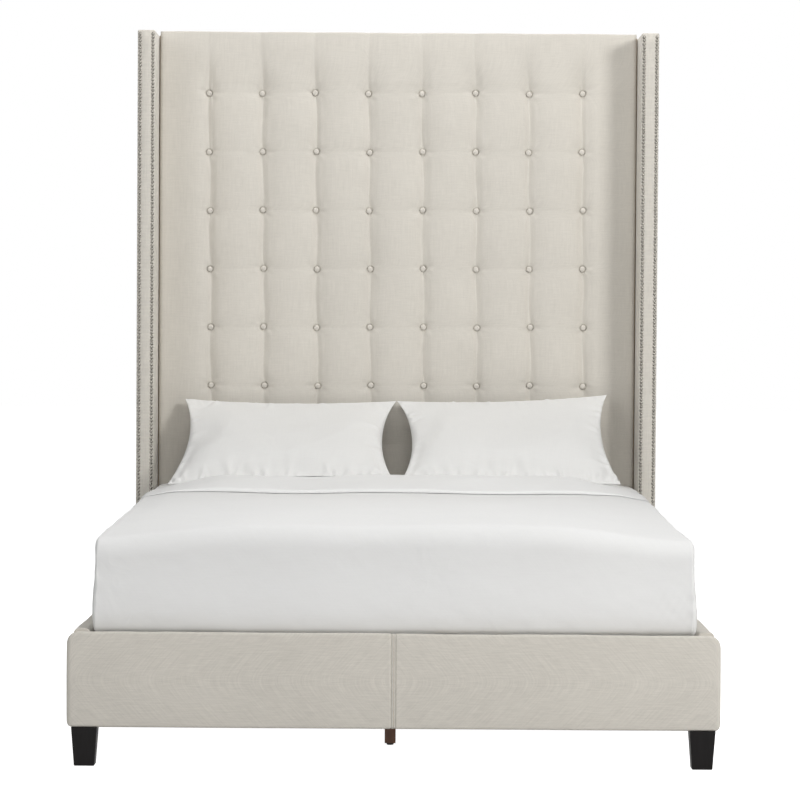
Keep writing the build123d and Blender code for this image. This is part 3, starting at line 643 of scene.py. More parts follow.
def tufted_depth(x, z, sizes):
    """How far the tufted face lies behind its fullest level, at any place.

    Between two columns the depth follows the square of the distance from the middle, with a sharper fold
    at the column itself: e to the minus distance over a reach. Along a column it deepens towards each
    button, and above the top row it fades out. Faint folds join the buttons of a row. Round each button
    the cloth is drawn in along short wrinkles, sines of the angle, and under it lies a flat pocket.
    """
    columns, rows, _, high = tuft_lines()
    spot_x, spot_z = button_spots()
    pitch = columns[1] - columns[0]
    nearest = np.clip(np.round((x - columns[0]) / pitch), 0, TUFT_COLUMNS - 1).astype(int)
    row = np.clip(np.round((z - rows[0]) / ROW_PITCH), 0, TUFT_ROWS - 1).astype(int)
    level = z - ROW_CLIMB * x
    between = np.minimum(np.abs(level - rows[row]), ROW_PITCH / 2)
    line = columns[nearest] + COLUMN_SHIFT + COLUMN_LEAN * (z - rows.mean() - LEAN_LEVEL)
    sway = COLUMN_SWAY * np.sin(HALF_TURN * z / ROW_PITCH + nearest * 1.7) * smooth(between / SWAY_REACH)
    signed = x - line - sway
    away = np.abs(signed)
    inside = np.abs(x) < columns[-1]
    share = np.clip(away / (pitch / 2), 0, 1)
    arch = np.where(inside, (1 - share) ** 2.0, (1 - np.clip(away / EDGE_ARCH_REACH, 0, 1)) ** 2.2)
    fold_reach = np.where(signed > 0, FOLD_REACH_RIGHT, FOLD_REACH_LEFT)
    fold = np.exp(-np.sqrt(away ** 2 + FOLD_ROUND ** 2) / fold_reach)
    near_button = np.exp(-((between / DRAW_REACH) ** 1.4))
    above = smooth((z - rows[-1]) / (FADE_RISE * (high[2] - rows[-1]))) ** 0.7
    outer = smooth((np.abs(columns[nearest]) - 0.2) / 0.4)
    fade = 1 - above * (FADE_MIDDLE + FADE_OUTER * outer)
    vary = 1 + 0.16 * np.sin(nearest * 2.7 + row * 1.9)
    crease = sizes.crease * fade
    depth = crease * (ARCH_SHARE * arch + FOLD_SHARE * fold * vary)
    depth = depth + (sizes.button_draw - crease) * near_button * (DRAW_ARCH * arch + DRAW_FOLD * fold)
    under_top = z < rows[-1] + ROW_PITCH / 2
    cross = np.exp(-np.sqrt(between ** 2 + ROW_FOLD_ROUND ** 2) / ROW_FOLD_REACH) * under_top
    uneven = 1 + 0.5 * np.sin(row * 2.3 + nearest)
    depth = depth + ROW_FOLD_DEPTH * cross * inside * (0.35 + 0.65 * (1 - share)) * uneven
    depth = depth + ROW_HOLLOW * (1 - between / (ROW_PITCH / 2)) ** 2 * inside * (z < rows[-1] + 0.03)
    off_x, off_z = x - spot_x[nearest, row], z - spot_z[nearest, row]
    radius = np.hypot(off_x, off_z)
    angle = np.arctan2(off_z, off_x)
    dimple = DIMPLE_DEPTH * np.exp(-((radius / DIMPLE_REACH) ** 1.6))
    wrinkle = (WRINKLE_FINE * np.sin(7 * angle + nearest * 2.1 + row * 1.3)
               + WRINKLE_BROAD * np.sin(3 * angle - row * 2.2))
    depth = depth + dimple + wrinkle * hump(radius, WRINKLE_RING, WRINKLE_REACH)
    tug = TUG_HEIGHT * np.sin(signed / TUG_LENGTH + 1.3 * nearest)
    tug = tug * np.exp(-((between - TUG_PLACE) / TUG_REACH) ** 2)
    depth = depth + tug * np.exp(-((away - 0.018) / 0.014) ** 2)
    depth = depth + MARGIN_DEPTH * smooth((np.abs(x) - columns[-1] - 0.03) / 0.04)
    depth = np.minimum(depth, sizes.button_draw + 0.0018)
    soft = ripples(x, z, random_waves(5, 18, 0.0012, 0.05, 0.35))
    pocket = 1 - smooth((radius - sizes.button_width / 2 - POCKET_ROOM) / POCKET_RIM)
    flat = sizes.button_draw + POCKET_DEPTH
    return depth * (1 - pocket) + flat * pocket + soft * (1 - pocket) * 0.6 * smooth((0.028 - depth) / 0.01)


PAD_SIDE_ROOM, PAD_SIDE_ROLL, PAD_TOP_ROLL, PAD_BACK_DROP = 0.0038, 0.004, 0.005, 0.012
PAD_LEAN, PAD_LEAN_START, PAD_LEAN_RUN = 0.0015, 0.036, 0.024
# The bedding hides the pad below this level, and every third row of its grid does there
HIDDEN_LEVEL = 0.62


def headboard_pad_points(sizes):
    """Closed skin of the pad: across it, loops up the tufted face, over the roll and down the back.

    The side edges turn back by a quarter circle, and just under the roll the face leans back a little.
    """
    columns, rows, low, high = tuft_lines()
    half = high[0] - PAD_SIDE_ROOM
    x = packed_places(columns, -half, half, 0.0021, 0.015, 0.011)
    z = packed_places(rows, low[2], high[2] - PAD_TOP_ROLL, 0.0021, 0.015, 0.012)
    z = z[(z > HIDDEN_LEVEL) | (np.arange(len(z)) % 3 == 0)]
    z[0] = low[2]
    grid_x, grid_z = np.meshgrid(x, z, indexing="ij")
    face = low[1] + tufted_depth(grid_x, grid_z, sizes)
    edge = half - np.abs(grid_x)
    face += PAD_SIDE_ROLL * (1 - np.sqrt(1 - (1 - np.clip(edge / PAD_SIDE_ROLL, 0, 1)) ** 2))
    face += PAD_LEAN * np.clip((grid_z - (high[2] - PAD_LEAN_START)) / PAD_LEAN_RUN, 0, 1)
    front = np.stack([grid_x, face, grid_z], -1)
    angle = np.linspace(0, QUARTER, 7)[1:]
    roll_y = face[:, -1:] + PAD_TOP_ROLL * (1 - np.cos(angle))
    uneven = ripples(x[:, None], roll_y, random_waves(9, 6, 0.0006, 0.1, 0.4))
    roll_z = high[2] - PAD_TOP_ROLL + PAD_TOP_ROLL * np.sin(angle) + uneven
    roll = np.stack([np.repeat(x[:, None], len(angle), 1), roll_y, roll_z], -1)
    across = np.repeat(x[:, None], 2, 1)
    back_top = np.full(len(x), high[2] - PAD_BACK_DROP)
    back = np.stack([across, np.full_like(across, high[1]), np.stack([roll_z[:, -1], back_top], 1)], -1)
    board_y = cad("headboard_board")[0][1]
    inner = np.stack([across, np.full_like(across, board_y),
                      np.repeat([[high[2] - PAD_BACK_DROP, low[2]]], len(x), 0)], -1)
    return capped_flat(np.concatenate([front, roll, back, inner], 1), board_y)


def capped_flat(loops, wall_y):
    """Close a tube's two ends by one more loop each, pressed flat against a wall plane."""
    first, last = loops[:1].copy(), loops[-1:].copy()
    first[..., 1] = last[..., 1] = wall_y
    return np.concatenate([first, loops, last], 0)


def dome(radius, height, rings, around, power=2.0):
    """Round cap that faces the foot: height falls as the root of one less the radius share to a power."""
    share = np.sin(np.linspace(0, QUARTER, rings + 1))
    angle = np.linspace(0, FULL_TURN, around, endpoint=False)
    rise = height * np.sqrt(np.clip(1 - share ** power, 0, 1))
    x = radius * share[:, None] * np.cos(angle)
    z = radius * share[:, None] * np.sin(angle)
    y = np.repeat(-rise[:, None], around, 1)
    return np.stack([x, y, z], -1)


BUTTON_SKIRT, BUTTON_LIFT = 0.0024, 0.0002


class BED_OT_headboard(bpy.types.Operator):
    """Tufted pad of the headboard with its covered buttons"""

    bl_idname = "bed.headboard"
    bl_label = "Headboard pad and buttons"

    def execute(self, context):
        sizes = context.scene.bed_sizes
        pad = make_piece("tufted_pad", [(headboard_pad_points(sizes), False, True)])
        dress(pad, "Stretched linen", "linen", "headboard_pad")
        low, _ = cad("headboard_pad")
        spot_x, spot_z = button_spots()
        radius = sizes.button_width / 2
        cap = dome(radius, sizes.button_height, 6, 22, 3.2)
        skirt = (cap[-1] * (0.9, 1, 0.9) + (0, BUTTON_SKIRT, 0))[None]
        base = np.repeat(skirt.mean(1, keepdims=True), cap.shape[1], 1)
        seat = low[1] + sizes.button_draw
        places = np.stack([spot_x.ravel(), np.full(spot_x.size, seat - BUTTON_LIFT), spot_z.ravel()], 1)
        buttons = make_piece("covered_buttons", copies(np.concatenate([cap, skirt, base], 0), places))
        dress(buttons, "Upholstery linen", "linen", "headboard_buttons")
        return {"FINISHED"}


TACK_PULL, TACK_PITCH = 0.0002, 0.12
BACK_SAG, HEM_THICK, HEM_WIDTH = 0.0003, 0.0004, 0.022


class BED_OT_back_cloth(bpy.types.Operator):
    """Dust cloth stretched over the back of the headboard"""

    bl_idname = "bed.back_cloth"
    bl_label = "Back cloth"

    def execute(self, context):
        low, high = cad("headboard_back_cloth")
        x, _ = eased_run(low[0] + 0.002, high[0] - 0.002, 0.0008, 0.0008, 90, 3)
        z = np.linspace(low[2] + 0.004, high[2] - 0.004, 100)
        grid_x, grid_z = np.meshgrid(x, z, indexing="ij")
        edge = np.minimum(grid_x - x[0], x[-1] - grid_x)
        edge = np.minimum(edge, np.minimum(grid_z - z[0], z[-1] - grid_z))
        tack = TACK_PULL * np.cos(FULL_TURN * grid_x / TACK_PITCH) * np.cos(FULL_TURN * grid_z / TACK_PITCH)
        tack = tack * np.exp(-edge / 0.05)
        sag = BACK_SAG * np.tanh(ripples(grid_x, grid_z, random_waves(21, 8, 1.0, 0.15, 0.7)))
        hem = HEM_THICK * (1 - smooth((edge - HEM_WIDTH) / 0.004))
        outer = high[1] - 0.0009 + tack + sag * smooth(edge / 0.1) + hem
        inner = low[1] + 0.0002
        back = np.stack([grid_x, outer, grid_z], -1)
        front = np.stack([grid_x, np.full_like(grid_x, inner), grid_z], -1)
        shell = np.concatenate([back, front[:, ::-1]], 1)
        ends = [np.concatenate([edge_row[:, :len(z)], edge_row[:, :len(z)][:, ::-1]], 1)
                for edge_row in (shell[:1], shell[-1:])]
        shell = np.concatenate([ends[0], shell, ends[1]], 0)
        cloth = make_piece("dust_cloth_back", [(shell, False, True)])
        dress(cloth, "Black dust cloth", "back_cloth", "headboard_back_cloth")
        return {"FINISHED"}


# ---------------------------------------------------------------- wings and nails

NAIL_INSETS = (0.009, 0.049)
# How far a nail strays, how proud its rim stands, and the rows' room at the wing's outer edge
NAIL_STRAY, NAIL_PROUD, NAIL_EDGE_ROOM = 0.00045, 0.0012, 0.0035
WING_CROWN, WING_ROW_HALF = 0.0026, 0.020
WING_ROW_DRAW, WING_ROW_REACH = 0.0016, 0.005


def wing_points(side):
    """Padded wing: a rounded rectangle in plan carried up, drawn in along the nail rows of its front.

    Between the rows the front swells by a parabola, and the two faces are full by a sine of their depth.
    """
    low, high = cad("wing_cover_" + SIDE_NAMES[side])
    z, step = eased_run(low[2], high[2], 0.003, 0.006, 90)
    out, inner = max(abs(low[0]), abs(high[0])), min(abs(low[0]), abs(high[0]))
    a, b = rounded_loops(inner + step, out - step, low[1] + step, high[1] - step,
                         [np.maximum(radius - step, 0.0004) for radius in (0.005, 0.002, 0.002, 0.005)],
                         arc=5, runs=(22, 4, 22, 30))
    height = np.repeat(z[:, None], a.shape[1], 1)
    front = smooth((low[1] + 0.004 - b) / 0.004) * (step[:, None] < 1e-6)
    inset = out - a
    draw = sum(np.exp(-np.abs(inset - row) / WING_ROW_REACH) for row in NAIL_INSETS)
    crown = np.maximum(WING_CROWN * (1 - ((inset - NAIL_INSETS[0]) / WING_ROW_HALF - 1) ** 2), -0.0050)
    b = b + front * (WING_ROW_DRAW * draw - crown)
    face = (np.abs(a - inner) < 1e-4) | (np.abs(a - out) < 1e-4)
    depth_share = np.clip((b - low[1]) / (high[1] - low[1]), 0, 1)
    belly = np.sin(HALF_TURN * depth_share) * face
    wave = ripples(b, height, random_waves(31 + side, 10, 0.0009, 0.12, 0.9, (1, 0.4))) * belly
    a = a + np.where(a < (inner + out) / 2, 1, -1) * (0.0010 * (1 - belly) * face + wave * 0.6)
    return capped(np.stack([side * a, b, height], -1))


def nail_places(side, sizes):
    """Middle of each nail of a wing's two rows, at the nail pitch. Each strays by a sine of its number."""
    low, high = cad("nail_rows_" + SIDE_NAMES[side])
    outer = max(abs(low[0]), abs(high[0])) + NAIL_EDGE_ROOM
    count = int((high[2] - low[2]) / sizes.nail_pitch)
    z = low[2] + sizes.nail_pitch * (np.arange(count) + 0.5)
    places = []
    for number, inset in enumerate(NAIL_INSETS):
        stray = NAIL_STRAY * np.sin(2.9 * np.arange(count) + number * 1.3 + side)
        x = side * (outer - inset + stray)
        y = np.full(count, high[1] + NAIL_PROUD)
        places.append(np.stack([x, y, z + 0.0003 * np.sin(4.1 * np.arange(count))], 1))
    return np.concatenate(places)


class BED_OT_wings(bpy.types.Operator):
    """Padded covers of the two wings"""

    bl_idname = "bed.wings"
    bl_label = "Wings"

    def execute(self, context):
        for name, side in SIDES:
            wing = make_piece("wing_" + name, [(wing_points(side), False, True)])
            dress(wing, "Upholstery linen", "linen", "wing_cover_" + name)
        return {"FINISHED"}


class BED_OT_nails(bpy.types.Operator):
    """Two rows of domed nails up the front of each wing"""

    bl_idname = "bed.nails"
    bl_label = "Nail rows"

    def execute(self, context):
        sizes = context.scene.bed_sizes
        head = dome(sizes.nail_width / 2, sizes.nail_height, 3, 9)
        for name, side in SIDES:
            nails = make_piece("nails_" + name, copies(head, nail_places(side, sizes)), closed=False)
            dress(nails, "Nickel nail heads", "nickel_nails", "nail_rows_" + name)
        return {"FINISHED"}


# ---------------------------------------------------------------- footboard and rails

FOOTBOARD_TOP_CORNER, FOOTBOARD_LOW_CORNER, FOOTBOARD_EDGE = 0.033, 0.015, 0.013
FOOTBOARD_RADII = (0.004, 0.013, 0.008, 0.006)
FOOTBOARD_CROWN = 0.005
# How far its top falls towards the mattress
TOP_FALL = 0.0062
# Grid places beside the centre seam, the seam's fold, and the topstitched groove on each side of it
SEAM_PLACES = (0.0003, 0.0007, 0.0013, 0.0021, 0.003, 0.0041, 0.0053, 0.0065, 0.0078, 0.0095, 0.012, 0.016)
SEAM_FOLD, SEAM_REACH = 0.0012, 0.0022
STITCH_ROWS = (-0.0065, 0.0042)
GROOVE_DEPTH, GROOVE_REACH = 0.0026, 0.0018
# A stitch's thickness, how much of its pitch it fills, and how deep in the groove it lies
STITCH_THICK, STITCH_SHARE, STITCH_SINK = 0.00042, 0.72, 0.0010


def corner_drop(room, radius):
    """How far a quarter circle's edge lies below its top, at a given room from the end."""
    inside = np.clip(room, 0, radius)
    return radius - np.sqrt(np.clip(radius ** 2 - (radius - inside) ** 2, 0, None))


def footboard_points(side):
    """One half of the footboard: a rounded rectangle in profile, carried from the seam to the end.

    The profile's limits follow quarter circles at the end, the front bulges by an arc, and the top falls
    towards the mattress by a soft step. At the seam the cloth turns in, and beside it the stitches press a
    groove with small puckers.
    """
    low, high = cad("footboard_cover_" + SIDE_NAMES[side])
    end = max(abs(low[0]), abs(high[0]))
    middle = np.linspace(0.022, end - 0.036, 64)
    tail = end - FOOTBOARD_TOP_CORNER * (1 - np.sin(np.linspace(0, QUARTER, 9)))
    x = np.concatenate([SEAM_PLACES, middle, tail])
    room = end - x
    top = high[2] - corner_drop(room, FOOTBOARD_TOP_CORNER)
    bottom = low[2] + corner_drop(room, FOOTBOARD_LOW_CORNER)
    pinch = corner_drop(room, FOOTBOARD_EDGE)
    fold = SEAM_FOLD * np.exp(-((x / SEAM_REACH) ** 1.2))
    groove = GROOVE_DEPTH * hump(x, STITCH_ROWS[1] if side > 0 else -STITCH_ROWS[0], GROOVE_REACH)
    inset = fold + groove
    limits = (low[1] + pinch + inset, high[1] - pinch - inset * 0.3, bottom + inset * 0.5, top - inset)
    depth = limits[1] - limits[0]
    radii = [np.minimum(radius, depth / 2.2) for radius in FOOTBOARD_RADII]
    a, b = rounded_loops(*limits, radii, arc=7, runs=(12, 10, 34, 8))
    share = np.clip((b - bottom[:, None]) / (top - bottom)[:, None], 0, 1)
    front = smooth(((limits[0] + depth * 0.5)[:, None] - a) / (depth * 0.5)[:, None])
    crown = FOOTBOARD_CROWN * (1 - (2 * share - 1) ** 2) - FOOTBOARD_CROWN
    sheet_x = np.repeat(x[:, None], a.shape[1], 1)
    wave = ripples(side * sheet_x, b, random_waves(41, 12, 0.0013, 0.08, 0.6))
    a = a - front * (crown + wave * smooth(sheet_x / 0.03))
    pucker = 0.0005 * np.sin(FULL_TURN * b / 0.023 + side) * np.exp(-((sheet_x - 0.009) / 0.008) ** 2)
    a = a + front * pucker
    upper = smooth((b - (top[:, None] - 0.03)) / 0.03)
    b = b - upper * (0.0012 + ripples(side * sheet_x, a * 0, random_waves(43, 7, 0.0012, 0.12, 0.7)))
    b = b - upper * TOP_FALL * smooth((a - limits[0][:, None]) / depth[:, None])
    return capped(np.stack([side * sheet_x, a, b], -1))


def stitch_shape(length, thick):
    """One stitch: a low bead between two needle holes, its height the root of the sine of the way along it.

    Gives the bead's rings and how far along each of them is.
    """
    share = np.linspace(0, 1, 5)
    angle = np.linspace(0, FULL_TURN, 6, endpoint=False)
    lift = np.sin(HALF_TURN * share)
    radius = thick * np.sqrt(lift)[:, None]
    ring = np.stack([radius * np.cos(angle), radius * np.sin(angle) - 0.4 * thick * lift[:, None]], -1)
    return ring, share * length


class BED_OT_footboard(bpy.types.Operator):
    """The footboard's cover in two halves, with its centre seam and topstitching"""

    bl_idname = "bed.footboard"
    bl_label = "Footboard"

    def execute(self, context):
        sizes = context.scene.bed_sizes
        for name, side in SIDES:
            half = make_piece("footboard_" + name, [(footboard_points(side), False, True)])
            dress(half, "Upholstery linen", "linen", "footboard_cover_" + name)
        low, high = cad("footboard_cover_left")
        count = int((high[2] - low[2] - 0.03) / sizes.stitch_pitch)
        ring, along = stitch_shape(sizes.stitch_pitch * STITCH_SHARE, STITCH_THICK)
        patches = []
        for row in STITCH_ROWS:
            for number in range(count):
                z = low[2] + 0.012 + number * sizes.stitch_pitch
                share = (z - low[2]) / (high[2] - low[2])
                y = low[1] + FOOTBOARD_CROWN - FOOTBOARD_CROWN * (1 - (2 * share - 1) ** 2) + STITCH_SINK
                points = np.stack([row + ring[..., 0], y + ring[..., 1],
                                   np.repeat((z + along)[:, None], ring.shape[1], 1)], -1)
                patches.append((points, False, True))
        stitches = make_piece("footboard_topstitch", patches, weld=1e-6)
        dress(stitches, "Upholstery linen", "linen")
        return {"FINISHED"}


RAIL_RADII = (0.006, 0.012, 0.012, 0.006)
RAIL_FALL = 0.0028


def rail_points(side):
    """Padded side rail: a rounded rectangle in profile carried along the bed, its outer face a little full.

    The outer face falls back by the square of the distance from its middle line.
    """
    low, high = cad("rail_cover_" + SIDE_NAMES[side])
    inner, outer = min(abs(low[0]), abs(high[0])), max(abs(low[0]), abs(high[0]))
    y, step = eased_run(low[1], high[1], 0.002, 0.002, 110)
    a, b = rounded_loops(inner + step, outer - step, low[2] + step, high[2] - step,
                         [np.maximum(radius - step, 0.0005) for radius in RAIL_RADII],
                         arc=6, runs=(20, 3, 14, 3))
    along = np.repeat(y[:, None], a.shape[1], 1)
    share = np.clip((b - low[2]) / (high[2] - low[2]), 0, 1)
    face = smooth((a - outer + 0.012) / 0.012)
    flat = RAIL_FALL * (2 * share - 1) ** 2
    wave = ripples(along, b, random_waves(51 + side, 12, 0.0012, 0.1, 0.8))
    ends = smooth((along - low[1]) / 0.05) * smooth((high[1] - along) / 0.05)
    a = a - face * (flat + (0.0006 + wave) * ends)
    upper = smooth((b - (high[2] - 0.03)) / 0.03)
    uneven = ripples(along, a * 0, random_waves(53 + side, 6, 0.0010, 0.15, 0.9))
    b = b - upper * (0.001 + uneven) * ends
    return capped(np.stack([side * a, along, b], -1))


class BED_OT_rails(bpy.types.Operator):
    """Padded covers of the side rails"""

    bl_idname = "bed.rails"
    bl_label = "Side rails"

    def execute(self, context):
        for name, side in SIDES:
            rail = make_piece("side_rail_" + name, [(rail_points(side), False, True)])
            dress(rail, "Upholstery linen", "linen", "rail_cover_" + name)
        return {"FINISHED"}


# ---------------------------------------------------------------- feet and levellers

FOOT_TAPER, FOOT_EDGE = 0.007, 0.0022
# A levelling foot: its stem's radius, how deep the thread is cut, and how thick its disc is
STEM_RADIUS, THREAD_DEPTH, DISC_THICK = 0.0038, 0.0004, 0.006


def foot_points(node):
    """Tapered square foot with eased edges: rounded squares carried up, drawn in towards the floor."""
    low, high = cad(node)
    z, step = eased_run(low[2], high[2], 0.003, 0.0006, 12)
    share = (z - low[2]) / (high[2] - low[2])
    taper = FOOT_TAPER * (1 - share) + step
    a, b = rounded_loops(low[0] + taper, high[0] - taper, low[1] + taper, high[1] - taper,
                         [np.maximum(FOOT_EDGE - step * 0.3, 0.0006)] * 4, arc=5, runs=(3, 3, 3, 3))
    return capped(level_loops(a, b, z))


def turned(profile, middle, around=40):
    """A profile of radius and height turned about an upright line."""
    angle = np.linspace(0, FULL_TURN, around, endpoint=False)
    radius, z = np.array(profile).T
    x = middle[0] + radius[:, None] * np.cos(angle)
    y = middle[1] + radius[:, None] * np.sin(angle)
    return level_loops(x, y, z)


class BED_OT_feet(bpy.types.Operator):
    """Lacquered front feet"""

    bl_idname = "bed.feet"
    bl_label = "Front feet"

    def execute(self, context):
        for name, _ in SIDES:
            foot = make_piece("front_foot_" + name, [(foot_points("foot_" + name), False, True)])
            dress(foot, "Black lacquered wood", "black_foot", "foot_" + name)
        return {"FINISHED"}


class BED_OT_levellers(bpy.types.Operator):
    """Levelling feet under the centre legs"""

    bl_idname = "bed.levellers"
    bl_label = "Levelling feet"

    def execute(self, context):
        for number in range(1, 5):
            low, high = cad(f"leveller_{number}")
            middle = (low + high) / 2
            stem, disc, top = STEM_RADIUS, (high[0] - low[0]) / 2, low[2] + DISC_THICK
            profile = [(0.0, low[2]), (disc - 0.0022, low[2]), (disc - 0.0006, low[2] + 0.0007),
                       (disc, low[2] + 0.0022), (disc - 0.0004, top - 0.0016), (disc - 0.0018, top - 0.0002),
                       (stem + 0.0022, top), (stem + 0.0004, top + 0.0002)]
            turns = np.linspace(top + 0.001, high[2] - 0.002, 31)
            profile += [(stem - THREAD_DEPTH * (row % 2), z) for row, z in enumerate(turns)]
            profile += [(stem - 0.001, high[2] - 0.0005), (0.0, high[2])]
            foot = make_piece(f"levelling_foot_{number}", [(turned(profile, middle), False, True)])
            dress(foot, "Black plastic", "black_plastic", f"leveller_{number}",
                  body=f"levelling_foot_{number}")
        return {"FINISHED"}


# ---------------------------------------------------------------- bedding

MATTRESS_CORNER, FOUNDATION_CORNER, TAPE_RADIUS = 0.055, 0.018, 0.006


def mattress_points():
    """Mattress: rounded rectangles carried up, drawn in between a taped edge at the bottom and at the top.

    Near the sides and the foot its top is pressed down by what lies on it.
    """
    low, high = cad("mattress")
    angle = np.linspace(-QUARTER, QUARTER, 7)
    tape = TAPE_RADIUS
    cord_z, cord_in = tape * (1 + np.sin(angle)), tape * (1 - np.cos(angle))
    wall_share = np.linspace(0, 1, 14)[1:-1]
    wall_z = 2 * tape + (high[2] - low[2] - 4 * tape) * wall_share
    wall_in = 0.008 - 0.004 * np.sin(HALF_TURN * wall_share)
    z = low[2] + np.concatenate([cord_z, wall_z, high[2] - low[2] - 2 * tape + cord_z])
    step = np.concatenate([cord_in, wall_in, cord_in])
    a, b = rounded_loops(low[0] + step, high[0] - step, low[1] + step, high[1] - step,
                         [MATTRESS_CORNER - step] * 4, arc=8, runs=(40, 30, 40, 30))
    points = level_loops(a, b, z)
    pressed = edge_drop(a, b, high[0]) + 0.016 * smooth((low[1] + 0.09 - b) / 0.07)
    points[..., 2] -= pressed * smooth((points[..., 2] - high[2] + 0.12) / 0.10)
    return capped(points)


def foundation_points():
    """Foundation: rounded rectangles carried up between two eased edges."""
    low, high = cad("foundation")
    z, step = eased_run(low[2], high[2], 0.006, 0.006, 8)
    a, b = rounded_loops(low[0] + step, high[0] - step, low[1] + step, high[1] - step,
                         [FOUNDATION_CORNER - step] * 4, arc=6, runs=(24, 18, 24, 18))
    return capped(level_loops(a, b, z))


class BED_OT_mattress(bpy.types.Operator):
    """Mattress and foundation"""

    bl_idname = "bed.mattress"
    bl_label = "Mattress and foundation"

    def execute(self, context):
        mattress = make_piece("mattress_body", [(mattress_points(), False, True)])
        dress(mattress, "Mattress ticking", "ticking", "mattress")
        base = make_piece("foundation_body", [(foundation_points(), False, True)])
        dress(base, "Foundation cloth", "foundation_cloth", "foundation")
        return {"FINISHED"}


# How far the bedding's shoulders reach out, how tall the one at the foot is, how far the flat top lies under
# its fullest level, and how far the drop flares
SIDE_SHOULDER, FOOT_SHOULDER, FOOT_ROUND = 0.012, 0.055, 0.060
BED_TOP_ROOM = 0.012
DROP_FLARE = 0.0042


def foot_share(b):
    """From nothing near the pillows to one at the foot, along the bed."""
    return np.clip((b + 0.40) / 1.45, 0, 1)


def edge_drop(x, y, half):
    """How much lower the bedding lies near its two sides: more and more towards the foot."""
    return 0.036 * foot_share(-y) * smooth((np.abs(x) / half - 0.45) / 0.55)


def folded_over(a, b, half, foot_edge, top, fall, square=1.0):
    """Lay a flat sheet over a box: across is a, and b runs towards the foot from the head.

    Past the box's inner edges the sheet turns down a quarter round and then hangs straight to one
    level. In the corner squares the distance is the larger of the two overhangs, and the direction
    swings round by their ratio, its cosine and sine raised to a power that makes the corner squarer.
    The round is taller at the foot, at the corners and along the sides near the foot. Gives the points
    and the directions out of the cloth.
    """
    over_a, over_b = np.maximum(np.abs(a) - half, 0), np.maximum(b - foot_edge, 0)
    reach = np.maximum(over_a, over_b)
    larger = np.where(reach > 0, reach, 1)
    swing = np.where(over_a >= over_b, over_b / larger, 2 - over_a / larger) * QUARTER / 2
    swing = np.where(reach > 0, swing, 0)
    way_a, way_b = np.sign(a) * np.cos(swing) ** square, np.sin(swing) ** square
    side_round = 0.008 + 0.012 * foot_share(b)
    tall = side_round * np.cos(swing) ** 2 + FOOT_ROUND * np.sin(swing) ** 2
    tall = tall + 0.012 * np.sin(2 * swing) ** 2
    bend = np.minimum(reach / tall, QUARTER)
    hung = np.maximum(reach - tall * QUARTER, 0) * (fall - tall) / (fall - tall * QUARTER)
    down = tall * (1 - np.cos(bend)) + hung
    x = np.clip(a, -half, half) + way_a * SIDE_SHOULDER * np.sin(bend)
    y = -(np.minimum(b, foot_edge) + way_b * FOOT_SHOULDER * np.sin(bend))
    turn = np.maximum(np.hypot(way_a, way_b), 1e-9)
    facing = np.stack([way_a / turn * np.sin(bend), -way_b / turn * np.sin(bend), np.cos(bend)], -1)
    return np.stack([x, y, top - down], -1), facing


def bed_top(x, y, high):
    """Height of the comforter's top above its edge level: a low arc across, lower near the foot's corners.

    Towards the head it also falls off near the two sides.
    """
    across = np.clip(np.abs(x) / high[0], 0, 1)
    side_fall = 0.011 * smooth((across - 0.87) / 0.12) * (1 - foot_share(-y))
    return 0.003 * (1 - across ** 2) - edge_drop(x, y, high[0]) - side_fall


def across_places(half, drop, hung, flat):
    """Places across a sheet: down one side, over the bed and down the other side."""
    return np.concatenate([np.linspace(-half - drop, -half, hung)[:-1], np.linspace(-half, half, flat),
                           np.linspace(half, half + drop, hung)[1:]])


def flared(fall, hang, facing):
    """How far the hanging sides stand out: a soft step of how far the place lies under the top."""
    return DROP_FLARE * smooth((fall - 0.05) / 0.2) * hang * np.abs(facing[..., 0])


def bedding_wave(sizes, a, b):
    """Wide seeded waves of the comforter, the same where it is turned back."""
    return sizes.comforter_wave * ripples(a, b, random_waves(61, 16, 1.0, 0.16, 0.9))


# The drop at the foot, by height above the floor: it swells above the footboard, and tucks in where it meets
# the footboard's top, first a little and then by a quarter round
SWELL, SWELL_LEVEL, SWELL_RUN = 0.010, 0.382, 0.11
TUCK, TUCK_LEVEL, TUCK_RUN = 0.004, 0.392, 0.04
ROLL_UNDER, ROLL_LEVEL, ROLL_RUN = 0.019, 0.357, 0.018
MOST_TUCKED = 0.020
# Small creases at its two corners: upright pleats at the left, and slanting ones at the right
PLEAT_HEIGHT, PLEAT_PITCH = 0.0008, 0.017
SLANT_HEIGHT, SLANT_PITCH = 0.0016, 0.034


